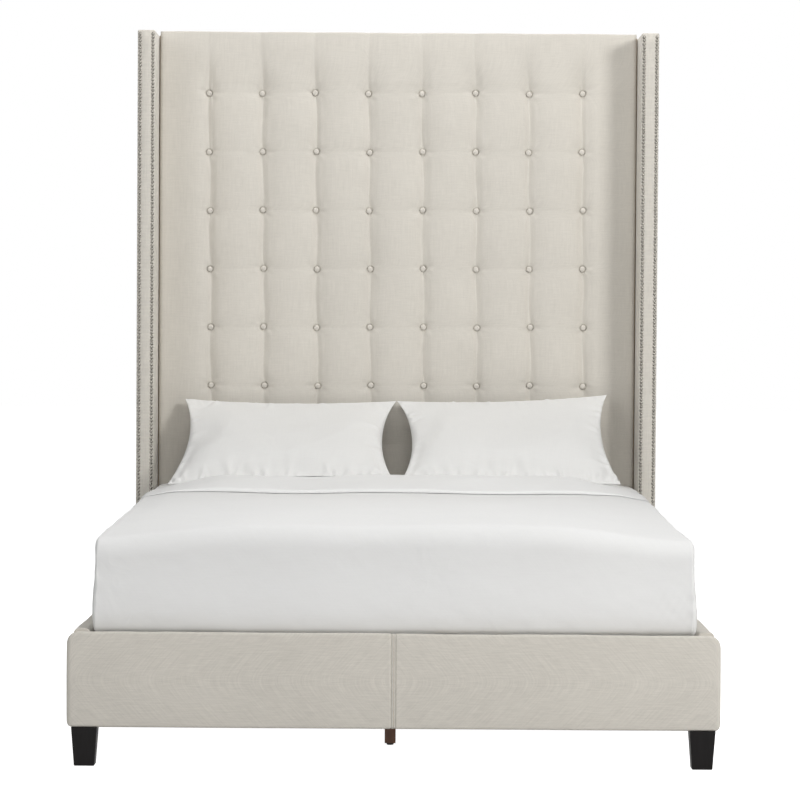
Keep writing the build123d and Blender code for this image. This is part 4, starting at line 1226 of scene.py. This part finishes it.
def comforter_points(sizes):
    """The comforter's outer face: a flat sheet folded over the mattress, then moved along its facing.

    Wide seeded waves make it uneven, and the drop flares a little. Its front has a soft hollow over a soft
    roll, swells towards the footboard and turns under where it rests on it. Close upright pleats gather at
    the left corner of the foot, and slanting creases at the right one: both are sines inside bells.
    """
    low, high = cad("comforter")
    top = high[2] - BED_TOP_ROOM
    half, foot_edge = high[0] - SIDE_SHOULDER, -(low[1] + FOOT_SHOULDER)
    drop = top - low[2]
    a = across_places(half, drop, 56, 110)
    b = np.concatenate([np.linspace(-high[1], foot_edge, 120),
                        np.linspace(foot_edge, foot_edge + drop, 56)[1:]])
    grid_a, grid_b = np.meshgrid(a, b, indexing="ij")
    points, facing = folded_over(grid_a, grid_b, half, foot_edge, top, drop, 0.5)
    x, y, z = points[..., 0], points[..., 1], points[..., 2]
    hang = 1 - smooth(facing[..., 2])
    z = z + bed_top(x, y, high) * np.clip((z - low[2]) / drop, 0, 1)
    fall = top - z
    out = flared(fall, hang, facing)
    front = hang * np.abs(facing[..., 1])
    out = out - front * (0.0022 * hump(fall, 0.100, 0.040) - 0.0018 * hump(fall, 0.175, 0.055))
    under_roll = np.clip((ROLL_LEVEL - z) / ROLL_RUN, 0, 0.995)
    tucked = TUCK * np.clip((TUCK_LEVEL - z) / TUCK_RUN, 0, 1) ** 2
    tucked = tucked + ROLL_UNDER * (1 - np.sqrt(1 - under_roll ** 2))
    swell = SWELL * (1 - smooth((z - SWELL_LEVEL) / SWELL_RUN))
    out = out + front * (swell - np.minimum(tucked, MOST_TUCKED))
    out = out + bedding_wave(sizes, grid_a, grid_b)
    small = ripples(grid_a, grid_b, random_waves(67, 14, 0.0005, 0.03, 0.12))
    out = out + small * (0.3 + 0.7 * hang)
    to_corner = np.hypot(np.abs(x) - high[0], y - low[1])
    pleats = np.sin(FULL_TURN * (x * 0.97 + 0.12 * z) / PLEAT_PITCH + 2 * np.sin(40 * z))
    left = smooth(-x / 0.1) * front * smooth((0.11 - to_corner) / 0.08) * hump(z, 0.48, 0.06)
    out = out + PLEAT_HEIGHT * pleats * left
    slant = np.sin(FULL_TURN * (x + 0.8 * z) / SLANT_PITCH)
    right = smooth(x / 0.1) * front * hump(x, 0.735, 0.05) * hump(z, 0.420, 0.050)
    out = out + SLANT_HEIGHT * slant * right
    points = np.stack([x, y, z], -1) + facing * out[..., None]
    return points[:, ::-1]


# The turned-back edge: its thickness at the nose, where it is fullest and under the pillows, and how far it
# droops at the two sides
NOSE_THICK, FOLD_THICK, FOLD_THINNER, FOLD_UNDER = 0.0125, 0.043, 0.018, 0.0018
SIDE_DROOP, EDGE_WAVE = 0.030, 0.0035
NO_FOOT_EDGE = 9.0


def fold_points(sizes):
    """The turned-back edge: a flattened roll in profile, carried across the bed and down both sides.

    The roll is a half round at its nose and fills out behind it by a sine.
    """
    low, high = cad("folded_sheet")
    comforter_low, comforter_high = cad("comforter")
    top = comforter_high[2] - BED_TOP_ROOM
    half = comforter_high[0] - SIDE_SHOULDER
    drop = top - low[2]
    a = across_places(half, drop, 46, 120)
    front, head = -low[1], -high[1]
    nose = np.linspace(QUARTER, -QUARTER, 13)
    middle = front - NOSE_THICK / 2
    lower = np.linspace(head, middle, 12)[:-1]
    upper = middle - (middle - head) * np.linspace(0, 1, 64)[1:] ** 1.3
    along = np.concatenate([lower, middle + NOSE_THICK / 2 * np.cos(nose), upper])
    fill = NOSE_THICK + (FOLD_THICK - NOSE_THICK) * np.sin(QUARTER * np.clip((middle - upper) / 0.19, 0, 1))
    fill = fill - FOLD_THINNER * smooth((middle - upper - 0.20) / 0.16)
    round_nose = np.where(nose > 0, FOLD_UNDER * (1 - np.sin(nose)),
                          FOLD_UNDER - (NOSE_THICK - FOLD_UNDER) * np.sin(nose))
    level = np.concatenate([np.zeros(len(lower)), round_nose, fill])
    grid_a, grid_b = np.meshgrid(a, along, indexing="ij")
    rise = np.repeat(level[None], len(a), 0)
    points, facing = folded_over(grid_a, grid_b, half, NO_FOOT_EDGE, top, top - comforter_low[2])
    x, y, z = points[..., 0], points[..., 1], points[..., 2]
    hang = 1 - smooth(facing[..., 2])
    z = z + bed_top(x, y, comforter_high) * np.clip((z - low[2]) / drop, 0, 1)
    thin = 0.10 + 0.90 * smooth((half + 0.02 - np.abs(grid_a)) / 0.26)
    puff = 1 + 0.14 * ripples(grid_a, grid_b, random_waves(71, 10, 1.0, 0.12, 0.7))
    out = rise * thin * puff + 0.0010 + flared(top - z, hang, facing)
    out = out + bedding_wave(sizes, grid_a, grid_b)
    edge_wave = EDGE_WAVE * ripples(grid_a, grid_a * 0, random_waves(73, 6, 1.0, 0.2, 1.1))
    droop = SIDE_DROOP * smooth((np.abs(x) - half + 0.10) / 0.14) ** 2
    near_fold = smooth((grid_b - (front - 0.10)) / 0.10)
    y = y - (edge_wave + droop) * near_fold
    return capped_seam(np.stack([x, y, z], -1) + facing * out[..., None])


def capped_seam(loops):
    """Close a flat tube's ends: the end loop is drawn to its own middle line, upper on lower."""
    first = (loops[:1] + loops[:1, ::-1]) / 2
    last = (loops[-1:] + loops[-1:, ::-1]) / 2
    return np.concatenate([first, loops, last], 0)


class BED_OT_comforter(bpy.types.Operator):
    """Comforter over the mattress and its edge turned back at the head"""

    bl_idname = "bed.comforter"
    bl_label = "Comforter"

    def execute(self, context):
        sizes = context.scene.bed_sizes
        comforter = make_piece("comforter_quilt", [(comforter_points(sizes), False, False)], closed=False)
        wall = comforter.modifiers.new("Thickness", "SOLIDIFY")
        wall.thickness, wall.offset, wall.use_even_offset = 0.008, -1, False
        dress(comforter, "White cotton", "white_cotton", "comforter")
        fold = make_piece("comforter_fold", [(fold_points(sizes), False, True)])
        dress(fold, "White cotton", "white_cotton", "folded_sheet")
        return {"FINISHED"}


PILLOW_WIDTH, PILLOW_LENGTH, PILLOW_THICK = 0.71, 0.47, 0.130
PILLOW_END_HOLLOW, PILLOW_TOP_HOLLOW, PILLOW_LOW_HOLLOW = 0.140, 0.15, 0.03
PILLOW_SAG, PUCKER_HEIGHT = 0.60, 0.0044
# Corners of the leaning pillows: low outer, low inner, top inner, top outer, as x, y and z
PILLOW_CORNERS = {
    "left": ((-0.722, 0.592, 0.636), (-0.010, 0.596, 0.660), (0.000, 0.995, 0.892), (-0.694, 0.985, 0.895)),
    "right": ((0.712, 0.592, 0.645), (0.022, 0.596, 0.660), (0.003, 0.990, 0.892), (0.692, 0.985, 0.917)),
}
# Where the pillows sit: the bedding's level at its middle, and how much lower it is this far to the side
SEAT_LEVEL, SEAT_FALL, SEAT_HALF = 0.664, 0.045, 0.78
FILL_FRAMES, FILL_CAP = 20, 0.05
# The power by which the case's sheets part, and where its evening out starts beside the seam
CASE_POWER, CALM_START, CALM_REACH = 0.7, 0.012, 0.030
# How many puckers run in from the lower seam, the upper seam and each end, and how tall the last two are
LOW_PUCKERS, HIGH_PUCKERS, END_PUCKERS, PUCKER_SHARE = 34, 24, 14, 0.6
# Half the width of the band whose points measure the case's middle
MIDDLE_BAND = 0.012


def pillow_case(width, length, thick):
    """A sewn pillow case laid flat: an upper and a lower sheet between four drawn-in sides.

    A side's hollow is widest at its middle, and the sheets part by a power of the distance from the seam.
    """
    s = np.linspace(-1, 1, 96)
    t = np.linspace(-1, 1, 66)
    grid_s, grid_t = np.meshgrid(s, t, indexing="ij")
    x = width / 2 * grid_s * (1 - PILLOW_END_HOLLOW * (1 - grid_t ** 2) * np.abs(grid_s) ** 3)
    side_hollow = np.where(grid_t > 0, PILLOW_TOP_HOLLOW, PILLOW_LOW_HOLLOW)
    y = length / 2 * grid_t * (1 - side_hollow * (1 - grid_s ** 2) * np.abs(grid_t) ** 3)
    rise = thick / 2 * ((1 - grid_s ** 4) * (1 - grid_t ** 4)) ** CASE_POWER
    return np.stack([x, y, rise], -1), np.stack([x, y, -rise], -1)


def cloth_filled(piece, fill, frames, cap):
    """Fill a sewn case: the cloth solver swells it, and no point ends further than the cap from its start.

    Away from the seams the result is then evened out.
    """
    scene = bpy.context.scene
    start = mesh_points(piece.data)
    solver = piece.modifiers.new("Fill", "CLOTH")
    cloth = solver.settings
    cloth.quality, cloth.mass, cloth.air_damping = 6, 0.2, 2.0
    cloth.use_pressure, cloth.uniform_pressure_force = True, fill
    cloth.tension_stiffness, cloth.compression_stiffness, cloth.shear_stiffness = 40, 12, 8
    cloth.bending_stiffness = 0.08
    cloth.effector_weights.gravity = 0
    solver.collision_settings.use_collision = False
    solver.point_cache.frame_start, solver.point_cache.frame_end = 1, frames
    for number in range(1, frames + 1):
        scene.frame_set(number)
    end = mesh_points(piece.evaluated_get(bpy.context.evaluated_depsgraph_get()).data)
    piece.modifiers.remove(solver)
    scene.frame_set(1)
    move = end - start
    far = np.linalg.norm(move, axis=1, keepdims=True)
    end = start + move * np.minimum(1, cap / np.maximum(far, 1e-9))
    move_points(piece.data, end)
    calm = piece.modifiers.new("Calm", "SMOOTH")
    calm.factor, calm.iterations = 0.5, 24
    calmed = mesh_points(piece.evaluated_get(bpy.context.evaluated_depsgraph_get()).data)
    piece.modifiers.remove(calm)
    away_from_seam = smooth((np.abs(start[:, 2:]) - CALM_START) / CALM_REACH)
    return end + (calmed - end) * away_from_seam


def puckers(along, inward, reach, count, seed):
    """Ridges that run in from a seam: narrow crests with a dip on each side, fading away from the seam.

    Across a ridge the height is one less the squared distance, times e to the minus half of that square.
    """
    rng = np.random.default_rng(seed)
    rise = np.zeros_like(along)
    for place, lean, width, length, share in rng.uniform(0, 1, (count, 5)):
        off = along - reach * (1.9 * place - 0.95) - inward * 0.9 * (lean - 0.5)
        ratio = (off / ((0.0050 + 0.0070 * width) * (1 + inward / 0.06))) ** 2
        crest = (1 - ratio) * np.exp(-ratio / 2)
        rise = rise + (0.35 + share) * crest * np.exp(-((inward / (0.016 + 0.050 * length ** 2)) ** 2))
    return rise * smooth(inward / 0.012)


def settled(shape, seed):
    """Let the filling sink towards the lower seam, and pucker the cloth along the four seams."""
    x, y, z = shape.T
    wide, long = x.max(), y.max()
    wide_middle = x[np.abs(y) < MIDDLE_BAND].max()
    middle = y[np.abs(x) < MIDDLE_BAND]
    middle_high, middle_low = middle.max(), -middle.min()
    long_middle = np.where(y > 0, middle_high, middle_low)
    edge_y = long_middle + (long - long_middle) * (x / wide) ** 2
    edge_x = wide_middle + (wide - wide_middle) * (y / long) ** 2
    t = y / edge_y
    full = 1 - PILLOW_SAG * smooth((t + 0.25) / 1.15) + 0.07 * hump(t, -0.35, 0.4)
    low_seam, high_seam = np.maximum(edge_y + y, 0), np.maximum(edge_y - y, 0)
    left_seam, right_seam = np.maximum(edge_x + x, 0), np.maximum(edge_x - x, 0)
    rise = puckers(x, low_seam, wide, LOW_PUCKERS, seed)
    rise = rise + PUCKER_SHARE * puckers(x, high_seam, wide, HIGH_PUCKERS, seed + 1)
    rise = rise + PUCKER_SHARE * puckers(y, left_seam, long, END_PUCKERS, seed + 2)
    rise = rise + PUCKER_SHARE * puckers(y, right_seam, long, END_PUCKERS, seed + 3)
    soft = ripples(x, y, random_waves(seed, 12, 0.0022, 0.08, 0.4)) * smooth(np.abs(z) / 0.03)
    return np.stack([x / wide, y / long, z * full + np.sign(z) * (PUCKER_HEIGHT * rise + soft)], 1)


def leaned(shape, corners, side):
    """Carry a settled pillow onto four corners: its place in the plan is mixed between them, and its
    thickness stands on the slope that they span."""
    low_out, low_in, top_in, top_out = [np.array(corner) for corner in corners]
    s, t = shape[:, :1] * side, shape[:, 1:2]
    inner, outer = (1 - s) / 2, (1 + s) / 2
    lower, upper = (1 - t) / 2, (1 + t) / 2
    place = lower * (outer * low_out + inner * low_in) + upper * (outer * top_out + inner * top_in)
    across = (low_out + top_out - low_in - top_in) * side
    rising = top_out + top_in - low_out - low_in
    normal = np.cross(across, rising)
    return place + shape[:, 2:] * normal / np.linalg.norm(normal)


class BED_OT_pillows(bpy.types.Operator):
    """Two pillows that lean on the headboard"""

    bl_idname = "bed.pillows"
    bl_label = "Pillows"

    def execute(self, context):
        sizes = context.scene.bed_sizes
        wall = cad("headboard_pad")[0][1] - 0.001
        for name, side in SIDES:
            upper, lower = pillow_case(PILLOW_WIDTH, PILLOW_LENGTH, PILLOW_THICK)
            case = make_piece("case", [(upper, False, False), (lower[::-1], False, False)])
            move_points(case.data, cloth_filled(case, sizes.pillow_fill, FILL_FRAMES, FILL_CAP))
            finer = case.modifiers.new("Smooth", "SUBSURF")
            finer.levels = finer.render_levels = 1
            case.data.update()
            smoothed = case.evaluated_get(context.evaluated_depsgraph_get())
            mesh = bpy.data.meshes.new_from_object(smoothed)
            bpy.data.objects.remove(case)
            pillow = bpy.data.objects.new("pillow_case_" + name, mesh)
            context.scene.collection.objects.link(pillow)
            shape = settled(mesh_points(mesh).astype(float), 81 + side)
            placed = leaned(shape, PILLOW_CORNERS[name], side)
            placed[:, 1] = np.minimum(placed[:, 1], wall)
            seat = SEAT_LEVEL - SEAT_FALL * (np.abs(placed[:, 0]) / SEAT_HALF) ** 4
            placed[:, 2] = np.maximum(placed[:, 2], seat)
            move_points(mesh, placed)
            dress(pillow, "Pillow cotton", "white_cotton", "pillow_" + name)
        return {"FINISHED"}


# ---------------------------------------------------------------- carried CAD nodes

SLOT_FINISHES = {
    "pine": "Sawn pine", "plywood": "Birch plywood", "zinc_steel": "Zinc plated steel",
    "black_plastic": "Black plastic", "brown_leg": "Brown stained wood", "black_foot": "Black lacquered wood",
}


class BED_OT_frame_finishes(bpy.types.Operator):
    """Finishes of the timber, plywood, steel and plastic that come from the CAD model"""

    bl_idname = "bed.frame_finishes"
    bl_label = "Frame finishes"

    def execute(self, context):
        for part in frame["record"]["subparts"]:
            node = frame["nodes"][part["node"]]
            name = SLOT_FINISHES.get(part["material_slot"])
            if name and not node.hide_render:
                for place in node.material_slots:
                    place.material = finish(name)
        return {"FINISHED"}


# ---------------------------------------------------------------- studio


FLOOR_HALF, FLOOR_DARK, FLOOR_LIGHT = 30, 0.66, 0.70
WORLD_LIGHT = 0.09
WHITE = (1, 1, 1, 1)
# Name, place, the point that it faces, side, power and colour. The one behind lights the tops of the
# footboard and of the bedding, and hardly what faces the camera.
LAMPS = (
    ("key", (4.2, -4.6, 3.4), (0.0, 0.6, 1.1), 1.6, 226, (1.0, 0.995, 0.985)),
    ("fill", (-4.0, -3.0, 3.5), (0.0, 0.2, 1.2), 2.5, 66, (1, 1, 1)),
    ("front", (0.5, -12.0, 3.8), (0.0, 0.2, 1.2), 3.5, 197, (1, 1, 1)),
    ("over", (0.1, -0.1, 4.3), (0.1, -0.1, 0.0), 1.8, 52, (1, 1, 1)),
    ("behind", (0.1, 3.0, 4.4), (0.1, -0.9, 0.5), 2.0, 80, (1, 1, 1)),
)


def area_light(name, place, aim, size, power, colour):
    """A square soft lamp that faces a point."""
    data = bpy.data.lights.new(name, "AREA")
    data.shape, data.size, data.energy, data.color = "SQUARE", size, power, colour
    lamp = bpy.data.objects.new(name, data)
    lamp.location = place
    lamp.rotation_euler = (Vector(aim) - Vector(place)).to_track_quat("-Z", "Y").to_euler()
    bpy.context.scene.collection.objects.link(lamp)


def seen_directly(tree):
    """1 where the camera, or a clear or shiny surface, looks at the backdrop."""
    path = add(tree, "ShaderNodeLightPath")
    seen = calc(tree, "MAXIMUM", path.outputs["Is Camera Ray"], path.outputs["Is Glossy Ray"])
    return calc(tree, "MAXIMUM", seen, path.outputs["Is Transmission Ray"])


class BED_OT_studio(bpy.types.Operator):
    """Pale floor, white backdrop, five soft lamps and the camera"""

    bl_idname = "bed.studio"
    bl_label = "Studio"

    def execute(self, context):
        scene = context.scene
        line = np.linspace(-FLOOR_HALF, FLOOR_HALF, 13)
        x, y = np.meshgrid(line, line, indexing="ij")
        floor = make_piece("floor", [(np.stack([x, y, np.zeros_like(x)], -1), False, False)], closed=False)
        material, tree, shader = new_material("Pale studio floor")
        grain = noise(tree, object_place(tree), 40.0, 3.0)
        tones = [(tone, tone, tone, 1) for tone in (FLOOR_DARK, FLOOR_LIGHT)]
        for label, value in (("Base Color", mixed(tree, grain, *tones)), ("Roughness", 0.9),
                             ("Specular IOR Level", 0.0), ("Emission Color", WHITE),
                             ("Emission Strength", seen_directly(tree))):
            socket_value(shader, label, value, tree)
        floor.data.materials.append(material)
        world = bpy.data.worlds.new("Studio")
        world.use_nodes = True
        scene.world = world
        tree = world.node_tree
        ground = tree.nodes["Background"]
        socket_value(ground, "Color", WHITE, tree)
        socket_value(ground, "Strength", spread(tree, seen_directly(tree), 0.0, 1.0, WORLD_LIGHT, 1.0), tree)
        for lamp in LAMPS:
            area_light(*lamp)
        camera_data = bpy.data.cameras.new("camera")
        camera_data.sensor_width, camera_data.lens = CAMERA_SENSOR, CAMERA_LENS
        camera = bpy.data.objects.new("camera", camera_data)
        turn = Matrix.Rotation(CAMERA_YAW, 4, "Z") @ Matrix.Rotation(CAMERA_TILT, 4, "X")
        camera.matrix_world = Matrix.Translation(CAMERA_PLACE) @ turn @ Matrix.Rotation(CAMERA_ROLL, 4, "Z")
        scene.collection.objects.link(camera)
        scene.camera = camera
        scene.view_settings.view_transform = "Standard"
        return {"FINISHED"}


# ---------------------------------------------------------------- panel and registration

OPERATORS = (
    BED_OT_headboard, BED_OT_back_cloth, BED_OT_wings, BED_OT_nails, BED_OT_footboard, BED_OT_rails,
    BED_OT_feet, BED_OT_levellers, BED_OT_mattress, BED_OT_comforter, BED_OT_pillows,
    BED_OT_frame_finishes, BED_OT_studio,
)


class BED_PT_pieces(bpy.types.Panel):
    """Sizes, colours and pieces of the bed"""

    bl_idname = "BED_PT_pieces"
    bl_label = "Wingback bed"
    bl_space_type = "VIEW_3D"
    bl_region_type = "UI"
    bl_category = "Bed"

    def draw(self, context):
        layout = self.layout
        for group in (context.scene.bed_sizes, context.scene.bed_colours):
            box = layout.box()
            for name in group.__annotations__:
                box.prop(group, name)
        for operator in OPERATORS:
            layout.operator(operator.bl_idname)


CLASSES = (BedSizes, BedColours, *OPERATORS, BED_PT_pieces)


def register():
    """Add the classes and the scene's sizes and colours."""
    for item in CLASSES:
        bpy.utils.register_class(item)
    bpy.types.Scene.bed_sizes = PointerProperty(type=BedSizes)
    bpy.types.Scene.bed_colours = PointerProperty(type=BedColours)


def unregister():
    """Take the classes and the scene's sizes and colours away."""
    del bpy.types.Scene.bed_colours
    del bpy.types.Scene.bed_sizes
    for item in reversed(CLASSES):
        bpy.utils.unregister_class(item)


def main():
    """Make every piece and the studio."""
    register()
    for operator in OPERATORS:
        group, name = operator.bl_idname.split(".")
        getattr(getattr(bpy.ops, group), name)()


if __name__ == "__main__":
    main()
